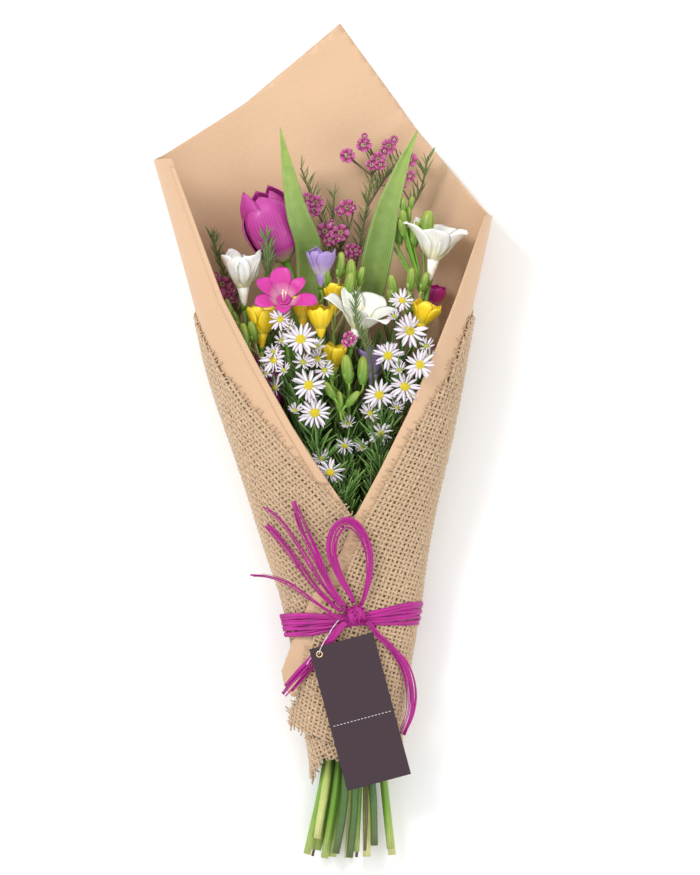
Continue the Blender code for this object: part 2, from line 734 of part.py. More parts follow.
def wax_trunk(cut, points):
    """Path of a waxflower's main stem from its cut end through its upper points."""
    start = Vector(points[0])
    lower = stream(start.x, start.z, cut, start.y, start.y)[:-1]
    return smooth_path([*lower, *points], 8)


def add_waxflowers(kept):
    """Woody sprays with needles along them and small five-petalled flowers."""
    rng = random.Random(11)
    for number, (cut, points, forks, heads, needles) in enumerate(WAXFLOWERS, start=1):
        trunk = wax_trunk(cut, points)
        kept.stems.append((trunk, WAX_STEM))
        shapes = [curve_of(trunk, WAX_STEM, 1)]
        lines = [trunk]
        for fork in forks:
            path = smooth_path([near(trunk, fork[0][1]), *fork[1:]], 4)
            shapes.append(curve_of(path, 0.8, 1))
            lines.append(path)
        for centre, axis, size in heads:
            shapes.append(star(centre, axis, size, 5, 0.5, 0.8))
            twig = near_any(lines, Vector(centre) - Vector((0, 9, 0)))
            end = Vector(centre) - Vector(axis).normalized() * size * 0.3
            shapes.append(curve_of([twig, twig.lerp(end, 0.6) + Vector((0, 0, -1)), end], 0.6, 0))
        low, high, count, length = needles
        for step in range(count):
            line = lines[step % len(lines)]
            root = line_point(line, low, high, rng.random())
            angle = rng.uniform(0, 2 * math.pi)
            out = Vector((math.cos(angle), 1.5, 0.55 * math.sin(angle))).normalized()
            tip = root + out * length * rng.uniform(0.7, 1.1)
            if kept.free(needle(root + out * 2.0, tip + out * 0.8, 1.3)):
                shapes.append(needle(root, tip, 0.8))
        kept.keep(fuse(f"waxflower_spray_{number}", shapes, WAX_GREEN))


def line_point(line, low, high, share):
    """Random point of a line where it runs between two places along the bouquet."""
    first = max(low, line[0].y)
    last = min(high, line[-1].y)
    return near(line, first + (last - first) * share)


def near_any(lines, point):
    """Nearest point of several lines to a point."""
    return min((p for line in lines for p in line), key=lambda p: (p - point).length)


def star(centre, axis, size, petals, inner, face):
    """Small flower: pointed petals round a hollow face, and a cup that narrows to its stalk."""
    place = facing(centre, axis)
    outline = []
    for number in range(2 * petals):
        reach = size * (inner if number % 2 else 1.0)
        angle = math.pi * number / petals
        outline.append(place @ Vector((reach * math.cos(angle), reach * math.sin(angle), face)))
    points = [*outline, place @ Vector((0, 0, 0.3)), place @ Vector((0, 0, -size * 0.6))]
    faces = []
    for number in range(2 * petals):
        following = (number + 1) % (2 * petals)
        faces += [(number, following, 2 * petals), (following, number, 2 * petals + 1)]
    return mesh_of(points, faces)


COLLECTION = "flower_bouquet"
CUTTERS = "cutters"
clear_scene()
for collection_name in (COLLECTION, CUTTERS):
    bpy.context.scene.collection.children.link(bpy.data.collections.new(collection_name))

KRAFT = finish("kraft", (0.66, 0.43, 0.25), 0.6)
JUTE = finish("jute", (0.50, 0.35, 0.20), 0.95)
RAFFIA = finish("raffia", (0.45, 0.005, 0.24), 0.45)
CARD = finish("card", (0.055, 0.030, 0.040), 0.6)
TWINE = finish("twine", (0.16, 0.20, 0.07), 0.9)
THREAD_FINISH = finish("thread", (0.55, 0.55, 0.52), 0.5)
MAGENTA = finish("magenta_petal", (0.42, 0.02, 0.22), 0.5)
PINK = finish("pink_petal", (0.62, 0.03, 0.27), 0.5)
WHITE = finish("white_petal", (0.84, 0.82, 0.72), 0.5)
LILAC = finish("lilac_petal", (0.37, 0.22, 0.58), 0.5)
YELLOW = finish("yellow_petal", (0.92, 0.52, 0.01), 0.5)
PALE = finish("pale_ray", (0.78, 0.72, 0.80), 0.6)
LEAF = finish("tulip_leaf", (0.22, 0.38, 0.13), 0.5)
STEM_BRIGHT = finish("bright_stem", (0.17, 0.36, 0.05), 0.5)
STEM_LIGHT = finish("light_stem", (0.45, 0.50, 0.18), 0.5)
STEM_DARK = finish("dark_stem", (0.06, 0.14, 0.03), 0.6)
WAX_GREEN = finish("woody_sprig", (0.13, 0.16, 0.05), 0.7)

STEM_STATIONS = (-275, -240, -193, -155, -118, -85, -28, 10, 50, 92, 125, 150)
TULIP_STEM = 3.0
FREESIA_STEM = 1.7
ASTER_STEM = 1.5
WAX_STEM = 1.1
BINDING = (-141.0, -128.0)
ASTER_CUP = 4.5
PLAIN_FREESIA = 32
TAG_LIFT = (6.8, 2.8)

# Radius, then places across, along and above the wrap's top
RAFFIA_RUNS = {
    "raffia_loop": (2.4, ((22.5, -117.5, 5.5), (13.5, -101, 7), (7.5, -83, 8), (10, -68, 8), (18.8, -61, 8),
                          (28, -67, 8), (34.5, -82, 8), (35, -101, 7), (31, -118, 5.5))),
    "raffia_tail_1": (2.0, ((14, -120.5, 8), (6, -108, 9.5), (-3, -90, 7), (-13, -68, 5), (-21, -46, 4))),
    "raffia_tail_2": (1.0, ((13.8, -124.2, 12.5), (-2, -104, 12), (-18, -78, 9), (-31, -60, 9),
                            (-43.5, -50, 10))),
    "raffia_tail_3": (1.6, ((12, -126.6, 5.2), (-4, -111, 5.5), (-22, -86, 4), (-33, -72, 4), (-41, -64, 4))),
    "raffia_tail_4": (0.9, ((12.4, -133, 8.5), (-8, -119, 8.5), (-26, -107, 9), (-40, -102, 10),
                            (-53, -101, 10))),
    "raffia_tail_5": (2.6, ((15, -139, 5.6), (5, -151, 4.4), (-7, -165, 4.4), (-18, -179, 4.6),
                            (-28, -191, 5))),
    "raffia_tail_6": (2.2, ((36, -138, 5.5), (42, -146, 4), (52, -156, 4.5), (62, -170, 6),
                            (67, -188, 6), (66, -205, 8), (60, -220, 8))),
}

# Base of the bloom, its axis, length, radius and roll
TULIPS = (((-27, 133.5, 34), (-0.42, 1.0, 0.06), 60, 18.5, 0.5),
          ((-34, 20, 26.5), (-0.2, 1.0, 0.05), 46, 13, 0.2))
TULIP_CUTS = (-314, -309)
TULIP_LEAVES = ((((-12, 88, 26), (-9.3, 120, 32), (-10.3, 146, 42), (-19, 172, 56), (-27, 210, 62),
                  (-31.5, 235, 62)), 9.0, 0.25),
                (((29, 84, 22), (36.3, 112, 27), (42.0, 140, 36), (49.0, 172, 46), (60, 205, 52),
                  (72, 233, 54)), 10.0, 0.35))

# Base of the flower, its axis, length, openness, roll and colour
FREESIAS = {
    "freesia_white_1": ((-58, 97, 50), (-0.06, 1.0, 0.12), 45, 0.3, 0.3, WHITE),
    "freesia_white_2": ((22, 68, 60), (0.28, 1.0, 0.42), 46, 0.75, 0.1, WHITE),
    "freesia_white_3": ((80, 116, 49), (0.18, 1.0, 0.18), 52, 0.6, 0.4, WHITE),
    "freesia_magenta_1": ((-28.5, 97, 57), (0.0, 0.6, 0.8), 31, 1.0, 0.6, PINK),
    "freesia_magenta_2": ((79, 91, 29), (0.22, 1.0, 0.15), 26, 0.2, 0.2, PINK),
    "freesia_lilac": ((-1, 113, 54), (0.03, 1.0, 0.1), 30, 0.25, 0.0, LILAC),
    "freesia_purple": ((37.5, 36, 42), (0.12, 1.0, 0.2), 38, 0.45, 0.3, LILAC),
    "freesia_yellow_1": ((-45, 66, 56), (0.0, 1.0, 0.1), 36, 0.25, 0.2, YELLOW),
    "freesia_yellow_2": ((-15, 83, 60.5), (0.1, 1.0, 0.05), 25, 0.3, 0.5, YELLOW),
    "freesia_yellow_3": ((9, 92, 46), (0.05, 1.0, 0.05), 27, 0.4, 0.1, YELLOW),
    "freesia_yellow_4": ((-1, 74, 69), (0.0, 1.0, 0.1), 27, 0.22, 0.4, YELLOW),
    "freesia_yellow_5": ((8, 46, 60), (0.05, 1.0, 0.12), 26, 0.25, 0.0, YELLOW),
    "freesia_yellow_6": ((72, 78, 60), (0.3, 1.0, 0.15), 28, 0.4, 0.3, YELLOW),
}
# Main flower, cut end, flowers on side stalks, buds (foot, axis, length, radius) and finish
SPIKES = (
    ("freesia_white_1", -312, (), (((-68, 92, 52), (-0.3, 1, 0.3), 16, 3.2),), STEM_BRIGHT),
    ("freesia_yellow_1", -300, (), (((-57, 66, 64), (-0.1, 1, 0.2), 24, 4.4),), STEM_LIGHT),
    ("freesia_magenta_1", -315, ("freesia_lilac",), (), STEM_BRIGHT),
    ("freesia_yellow_3", -315, ("freesia_yellow_4", "freesia_yellow_2", "freesia_yellow_5"),
     (((22, 112, 50), (0.0, 1, 0.15), 26, 4.4),), STEM_LIGHT),
    ("freesia_white_2", -310, (), (((20, 44, 75), (-0.1, 1, 0.2), 22, 4.4),
                                   ((30.5, 43, 74), (0.05, 1, 0.1), 22, 4.2),
                                   ((14, 22, 72), (-0.1, 1, 0.1), 16, 3.4)), STEM_BRIGHT),
    ("freesia_purple", -314, (), (((42, 18, 52), (0.3, 1, 0.1), 15, 2.8),), STEM_LIGHT),
    ("freesia_white_3", -308, ("freesia_yellow_6",), (((58, 148, 40), (-0.1, 1, 0.1), 22, 3.6),
                                   ((50, 156, 38), (-0.2, 1, 0.1), 20, 3.4),
                                   ((66, 142, 40), (0.0, 1, 0.1), 20, 3.6)), STEM_BRIGHT),
    ("freesia_magenta_2", -313, (),
     (((66, 94, 36), (0.0, 1, 0.2), 20, 3.6), ((54, 98, 38), (-0.2, 1, 0.1), 18, 3.6)), STEM_LIGHT),
)

# Centre, axis, radius, rays, droop and spray of each large aster
ASTERS = (
    ((-15.8, 75, 88), (0.0, 0.25, 1.0), 13.5, 9, 0.05, 2),
    ((-9.8, 41, 85), (-0.05, -0.1, 1.0), 13.5, 9, 0.0, 2),
    ((-5.3, 20.5, 79), (0.05, -0.3, 1.0), 13.5, 9, 0.05, 2),
    ((-36, 60, 80), (-0.5, 0.1, 1.0), 11, 9, 0.1, 2),
    ((6, -24, 71), (0.0, -0.7, 1.0), 12, 9, 0.3, 1),
    ((-31, 90, 82), (-0.2, 0.4, 1.0), 10, 9, 0.1, 2),
    ((65.5, 81.5, 85), (0.1, 0.1, 1.0), 13.5, 9, 0.05, 3),
    ((49.5, 63, 88), (-0.1, -0.4, 1.0), 12.5, 9, 0.2, 3),
    ((73, 56, 91), (0.2, 0.1, 1.0), 12.5, 9, 0.05, 3),
    ((62, 40, 83), (0.05, -0.35, 1.0), 13, 9, 0.05, 3),
    ((42.8, 33.8, 78), (0.0, -0.3, 1.0), 12.5, 9, 0.1, 3),
    ((60, 104, 74), (0.1, 0.5, 1.0), 10, 9, 0.1, 3),
)
# Head of the main stem, cut end, small heads grown on, and leaves: count, from, to, length
ASTER_SPRAYS = (
    ((16, -32, 58), -314, (((17, -4, 66), (0.1, -0.6, 0.9), 8),), (11, -75, -34, 26)),
    ((-5, 12, 65), -311, (((-35, 39, 74), (-0.8, 0.3, 0.6), 9), ((-3.5, 60.5, 79), (0.1, 0.5, 0.8), 9)),
     (11, -50, 8, 24)),
    ((46, 10, 64), -305, (((44, 5, 70), (0.2, -0.5, 0.9), 9),), (11, -50, 8, 24)),
)

# Cut end, upper path, forks, flowers (centre, axis, size) and needles: from, to, count, length
WAXFLOWERS = (
    (-315, ((24, 120, 15), (31, 160, 17), (36, 190, 20), (40, 212, 24)),
     (((0, 175, 0), (50, 200, 22), (64, 209, 25)),
      ((0, 140, 0), (58, 165, 18), (73, 185, 20), (80, 214, 24))),
     (((19, 214, 27), (0, 0.2, 1), 5), ((31.5, 222, 28), (0, 0.3, 1), 5),
      ((50, 221, 28), (0.2, 0.2, 1), 5), ((42, 211, 30), (0, 0, 1), 5),
      ((66, 211, 29), (0.2, 0.2, 1), 5), ((58.5, 193, 27), (0.3, 0, 1), 4.5)),
     (120, 205, 14, 14)),
    (-315, ((2, 110, 14), (5, 140, 18), (8, 168, 22), (9, 184, 24)),
     (((0, 150, 0), (-6, 178, 24), (-16, 205, 26)), ((0, 130, 0), (16, 148, 24), (20, 158, 26))),
     (((-5, 178, 31), (0, 0.2, 1), 5.5), ((18.8, 175, 28), (0.2, 0.2, 1), 5.5),
      ((2, 157, 34), (0, 0, 1), 5.5), ((14, 156, 32), (0, 0, 1), 5.5),
      ((22, 143, 28), (0.2, 0, 1), 4.5)),
     (110, 200, 14, 14)),
    (-314, ((-63, 96, 28), (-74, 124, 28), (-83, 154, 32)), (),
     (((-75, 117, 33), (0, 0.2, 1), 5.5), ((-71, 107, 34), (0.1, 0, 1), 4.5)), (100, 150, 14, 12)),
    (-307, ((-38, 100, 42), (-40, 128, 53), (-42, 152, 62)), (), (), (118, 150, 12, 13)),
    (-309, ((38, 50, 68), (36.8, 59, 78), (33, 70, 89), (26, 85, 97), (25, 108, 99)), (),
     (((21, 76, 99), (-0.3, -0.2, 1), 4.5),), (66, 106, 12, 10)),
)

kept_solids = Clearance()
add_wrap(kept_solids)
add_raffia(kept_solids)
add_tag(kept_solids)
add_tulips(kept_solids)
add_freesias(kept_solids)
add_asters(kept_solids)
add_waxflowers(kept_solids)
add_binding(kept_solids)
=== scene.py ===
"""Looks of a hand-tied spring bouquet in kraft paper and burlap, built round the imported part.

Everything is worked out in millimetres in the part's own frame: +X is the bouquet's right, +Y runs
from its cut stems to the paper's peak and +Z points up from the table. Meshes are made in metres.
"""

import logging
import math
import random
from dataclasses import dataclass, field
from enum import Enum
from typing import Sequence

import bmesh
import bpy
import numpy as np
from mathutils import Matrix, Vector


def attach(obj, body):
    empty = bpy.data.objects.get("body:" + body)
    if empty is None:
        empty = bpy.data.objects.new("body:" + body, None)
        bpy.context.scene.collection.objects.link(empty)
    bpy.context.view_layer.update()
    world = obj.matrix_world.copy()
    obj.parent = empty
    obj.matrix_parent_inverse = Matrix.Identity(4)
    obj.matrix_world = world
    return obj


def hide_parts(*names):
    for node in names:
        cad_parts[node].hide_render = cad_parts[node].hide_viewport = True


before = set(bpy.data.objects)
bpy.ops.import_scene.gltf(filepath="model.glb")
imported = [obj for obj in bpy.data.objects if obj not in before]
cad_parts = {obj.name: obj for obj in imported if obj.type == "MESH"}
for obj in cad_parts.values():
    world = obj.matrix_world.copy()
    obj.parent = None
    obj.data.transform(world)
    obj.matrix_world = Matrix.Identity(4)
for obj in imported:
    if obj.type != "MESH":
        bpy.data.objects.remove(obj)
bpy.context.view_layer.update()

LOG = logging.getLogger("bouquet")
MM = 0.001
GOLDEN_TURN = math.pi * (3 - math.sqrt(5))
QUARTER = math.pi / 2
UP = Vector((0, 0, 1))

Colour = tuple[float, float, float]
Knots = tuple[tuple[float, float], ...]
Path = list[Vector]
Triple = tuple[float, float, float]

Item = bpy.types.Object
Material = bpy.types.Material
Mesh = bpy.types.Mesh
Node = bpy.types.Node
Socket = bpy.types.NodeSocket
Tree = bpy.types.NodeTree

# Sheets, in millimetres, as in the part
PAPER = 0.6
BURLAP = 1.4
LAYER_GAP = 0.8
SEAT_GAP = 0.35
SPIRAL_PITCH = PAPER + BURLAP + 2 * LAYER_GAP
BURLAP_OFFSET = PAPER / 2 + LAYER_GAP + BURLAP / 2
BURLAP_OUTSIDE = BURLAP_OFFSET + BURLAP / 2
TIE_LIFT = 3.0
# Turn up to which a sheet hasn't begun to wind outwards, turn at which the tie steps off the
# outer edge of the sheets, and turn past which a sheet runs straight on
PLAIN_TURN = 0.6
STEP_TURN = math.pi + 0.75
FREE_TURN = math.pi + 1.0

# Raffia band and its knot
BAND_THICK = 2.0
BAND_MIDDLE = -134.5
BAND_TILT = 0.10
KNOT = (25.5, -130.0)
KNOT_SIZE = (10.0, 8.0, 6.0)

# Places along the bouquet at which a stem keeps its share of the cone
STEM_STATIONS = (-275, -240, -193, -155, -118, -85, -28, 10, 50, 92, 125, 150)


def value_at(knots: Knots, y: np.ndarray) -> np.ndarray:
    """Straight-line value between knots.

    Args:
        knots: Places along the bouquet, each with the value there.
        y: Places asked for.

    Returns:
        The values at those places.
    """
    places, values = zip(*knots)
    return np.interp(y, places, values)


def smooth_at(knots: Knots, y: np.ndarray) -> np.ndarray:
    """Smooth value between knots, with no corner at a knot.

    Args:
        knots: Places along the bouquet, each with the value there.
        y: Places asked for.

    Returns:
        The values at those places.
    """
    places = np.array([knot[0] for knot in knots], float)
    values = np.array([knot[1] for knot in knots], float)
    secant = np.diff(values) / np.diff(places)
    slope = np.concatenate([secant[:1], (secant[:-1] + secant[1:]) / 2, secant[-1:]])
    held = np.clip(y, places[0], places[-1])
    low = np.clip(np.searchsorted(places, held, side="right") - 1, 0, len(places) - 2)
    span = places[low + 1] - places[low]
    t = (held - places[low]) / span
    return ((2 * t**3 - 3 * t**2 + 1) * values[low] + (t**3 - 2 * t**2 + t) * span * slope[low]
            + (3 * t**2 - 2 * t**3) * values[low + 1] + (t**3 - t**2) * span * slope[low + 1])


def smooth_path(points: Sequence[Sequence[float]], count: int) -> Path:
    """Evenly spaced points on a smooth curve through the given ones.

    Args:
        points: Points to pass through.
        count: How many points the result has.

    Returns:
        The points of the curve.
    """
    given = [Vector(p) for p in points]
    padded = [2 * given[0] - given[1], *given, 2 * given[-1] - given[-2]]
    fine = []
    for a, b, c, d in zip(padded, padded[1:], padded[2:], padded[3:]):
        for step in range(12):
            t = step / 12
            fine.append(0.5 * (2 * b + (c - a) * t + (2 * a - 5 * b + 4 * c - d) * t**2
                               + (3 * b - 3 * c + d - a) * t**3))
    fine.append(given[-1])
    lengths = np.cumsum([0.0] + [(q - p).length for p, q in zip(fine, fine[1:])])
    wanted = np.linspace(0.0, lengths[-1], count)
    axes = [np.interp(wanted, lengths, [p[axis] for p in fine]) for axis in range(3)]
    return [Vector(p) for p in zip(*axes)]


def near(path: Sequence[Vector], y: float) -> Vector:
    """Point of a stem path at a place along the bouquet.

    Args:
        path: The stem's path, from its cut end.
        y: Place along the bouquet.

    Returns:
        The point there, or the path's last point but one where it doesn't reach there.
    """
    for low, high in zip(path, path[1:]):
        if low.y <= y <= high.y:
            return low.lerp(high, (y - low.y) / max(high.y - low.y, 1e-6))
    return path[-2]


def ahead_of(path: Sequence[Vector], place: int) -> Vector:
    """Way in which a path runs on at one of its points."""
    return path[min(place + 1, len(path) - 1)] - path[max(place - 1, 0)]


def polar(radius: float, angle: float, height: float = 0.0) -> Vector:
    """Point at a distance and a turn from the Z axis."""
    return Vector((radius * math.cos(angle), radius * math.sin(angle), height))


def facing(origin: Sequence[float], axis: Sequence[float], roll: float = 0.0) -> Matrix:
    """Matrix that turns +Z to an axis, with a roll about it, and moves it to a point."""
    turn = Vector(axis).to_track_quat("Z", "Y").to_matrix().to_4x4()
    return Matrix.Translation(Vector(origin)) @ turn @ Matrix.Rotation(roll, 4, "Z")


@dataclass(frozen=True)
class WoundCone:
    """The flattened cone that both sheets are wound on.

    Attributes:
        left: Left edge of the section along the bouquet.
        right: Right edge of the section.
        height: Height of the section.
        floor: Height of the section's underside above the table.
        roundness: Power of the section's superellipse.
        flat_share: Share of the half height that is cut flat underneath.
        top_share: Share of the half width within which the wrap's top is looked up.
        halvings: Steps of the search for a turn.
    """

    left: Knots = ((-320, -21), (-256, -7), (-211, -12), (-155, -21), (-118, -29), (-85, -40),
                   (-28, -58), (50, -84), (92, -94), (210, -127), (315, -158))
    right: Knots = ((-320, 60), (-240, 56), (-193, 60), (-155, 65.5), (-118, 71.5), (-85, 76),
                    (-57, 81), (10, 96), (92, 111), (168, 127), (315, 150))
    height: Knots = ((-320, 34), (-256, 39), (-211, 44), (-155, 49), (-118, 52), (-85, 59),
                     (-28, 75), (50, 89), (92, 94), (210, 104), (315, 116))
    floor: Knots = ((-211, BURLAP_OUTSIDE), (-155, BURLAP_OUTSIDE + TIE_LIFT),
                    (-118, BURLAP_OUTSIDE + TIE_LIFT), (-85, BURLAP_OUTSIDE),
                    (95, BURLAP_OUTSIDE), (172, PAPER / 2), (315, PAPER / 2))
    roundness: float = 2.5
    flat_share: float = 0.055
    top_share: float = 0.93
    halvings: int = 32

    def size(self, y: np.ndarray) -> tuple[np.ndarray, np.ndarray, np.ndarray, np.ndarray]:
        """Section of the cone.

        Args:
            y: Places along the bouquet.

        Returns:
            Middle, half width, floor and half height of the section there.
        """
        left, right = smooth_at(self.left, y), smooth_at(self.right, y)
        half_height = smooth_at(self.height, y) / (2 - self.flat_share)
        return (left + right) / 2, (right - left) / 2, value_at(self.floor, y), half_height

    def spiral(self, turn: np.ndarray) -> np.ndarray:
        """How far a sheet has wound outwards at a turn from the middle of its back."""
        slope = SPIRAL_PITCH / 2 / (math.pi - PLAIN_TURN)
        return np.sign(turn) * np.maximum(0.0, np.abs(turn) - PLAIN_TURN) * slope

    def point(self, y: np.ndarray, turn: np.ndarray, outwards: np.ndarray = 0.0) -> np.ndarray:
        """Points of the wound sheet.

        Args:
            y: Places along the bouquet.
            turn: Turns from the middle of the back, positive to the right.
            outwards: Distance out from the paper's middle.

        Returns:
            An array of points, in millimetres.
        """
        y, turn, outwards = np.broadcast_arrays(np.asarray(y, float), turn, outwards)
        middle, half_width, floor, half_height = self.size(y)
        held = np.minimum(turn, FREE_TURN)
        sin, cos = np.sin(held), np.cos(held)
        power = 2 / self.roundness
        lift = (1 - np.sign(cos) * np.abs(cos) ** power) - self.flat_share
        across = np.sign(sin) * np.abs(sin) ** (2 - power) / half_width
        upwards = -np.sign(cos) * np.abs(cos) ** (2 - power) / half_height
        across = np.where(lift > 0, across, 0.0)
        upwards = np.where(lift > 0, upwards, -1.0)
        size = np.hypot(across, upwards)
        across, upwards = across / size, upwards / size
        out = outwards + self.spiral(turn)
        onwards = (turn - held) * half_width
        x = middle + half_width * np.sign(sin) * np.abs(sin) ** power
        z = floor + half_height * np.maximum(lift, 0.0)
        return np.stack([x + across * out - upwards * onwards, y,
                         z + upwards * out + across * onwards], axis=-1)

    def turn_at(self, y: np.ndarray, x: np.ndarray, low: float, high: float) -> np.ndarray:
        """Turn at which the sheet lies at a place across the bouquet.

        Args:
            y: Places along the bouquet.
            x: Places across it, one for each y.
            low: Turn at which the search starts.
            high: Turn at which it ends.

        Returns:
            The turns.
        """
        low, high = np.full_like(y, low, float), np.full_like(y, high, float)
        rising = self.point(y, high)[..., 0] > self.point(y, low)[..., 0]
        for _ in range(self.halvings):
            middle = (low + high) / 2
            onward = (self.point(y, middle)[..., 0] < x) == rising
            low, high = np.where(onward, middle, low), np.where(onward, high, middle)
        return (low + high) / 2

    def tie_offset(self, turn: float) -> float:
        """Offset of the band's inner face, over every layer that it crosses.

        Args:
            turn: Turn from the middle of the back.

        Returns:
            Its distance from the unwound paper's middle.
        """
        left, high, here = (float(self.spiral(t)) + BURLAP_OUTSIDE + SEAT_GAP
                            for t in (-QUARTER, STEP_TURN, turn))
        if turn <= STEP_TURN:
            return here
        return high + (left - high) * (turn - STEP_TURN) / (3 * QUARTER - STEP_TURN)

    def top_of(self, x: float, y: float) -> float:
        """Height of the outermost layer on top of the wrap.

        Args:
            x: Place across the bouquet.
            y: Place along it.

        Returns:
            The height there.
        """
        middle, half_width = (float(v) for v in self.size(np.float64(y))[:2])
        reach = self.top_share * half_width
        inside = min(max(x, middle - reach), middle + reach)
        turn = float(self.turn_at(np.float64(y), inside, QUARTER, 3 * QUARTER))
        extra = self.tie_offset(min(turn, 3 * QUARTER)) - float(self.spiral(turn))
        return float(self.point(y, turn, extra)[2])

    def stream(self, x: float, z: float, y_from: float, y_to: float) -> Path:
        """Stem that keeps its share of the cone's section.

        Args:
            x: Place across the bouquet of its upper end.
            z: Height of its upper end.
            y_from: Place along the bouquet of its lower end.
            y_to: Place along the bouquet of its upper end.

        Returns:
            The stem's path.
        """
        middle, half_width, floor, half_height = self.size(np.float64(y_to))
        across, upwards = (x - middle) / half_width, (z - floor - half_height) / half_height
        path = []
        for y in [y_from, *(s for s in STEM_STATIONS if y_from < s < y_to), y_to]:
            middle, half_width, floor, half_height = self.size(np.float64(y))
            path.append(Vector((middle + across * half_width, y,
                                floor + half_height * (1 + upwards))))
        return path

    def stem_to(self, base: Sequence[float], axis: Sequence[float], cut: float) -> Path:
        """Stem from its cut end to a bloom's base, turning into the bloom's axis.

        Args:
            base: The bloom's base.
            axis: The bloom's axis.
            cut: Place along the bouquet of the cut end.

        Returns:
            The stem's path.
        """
        run = Vector(axis).normalized()
        below = Vector(base) - run * 12
        path = smooth_path(self.stream(below.x, below.z, cut, below.y), 6)
        return smooth_path([*path, Vector(base) - run * 5, Vector(base) + run * 0.3], 26)


CONE = WoundCone()


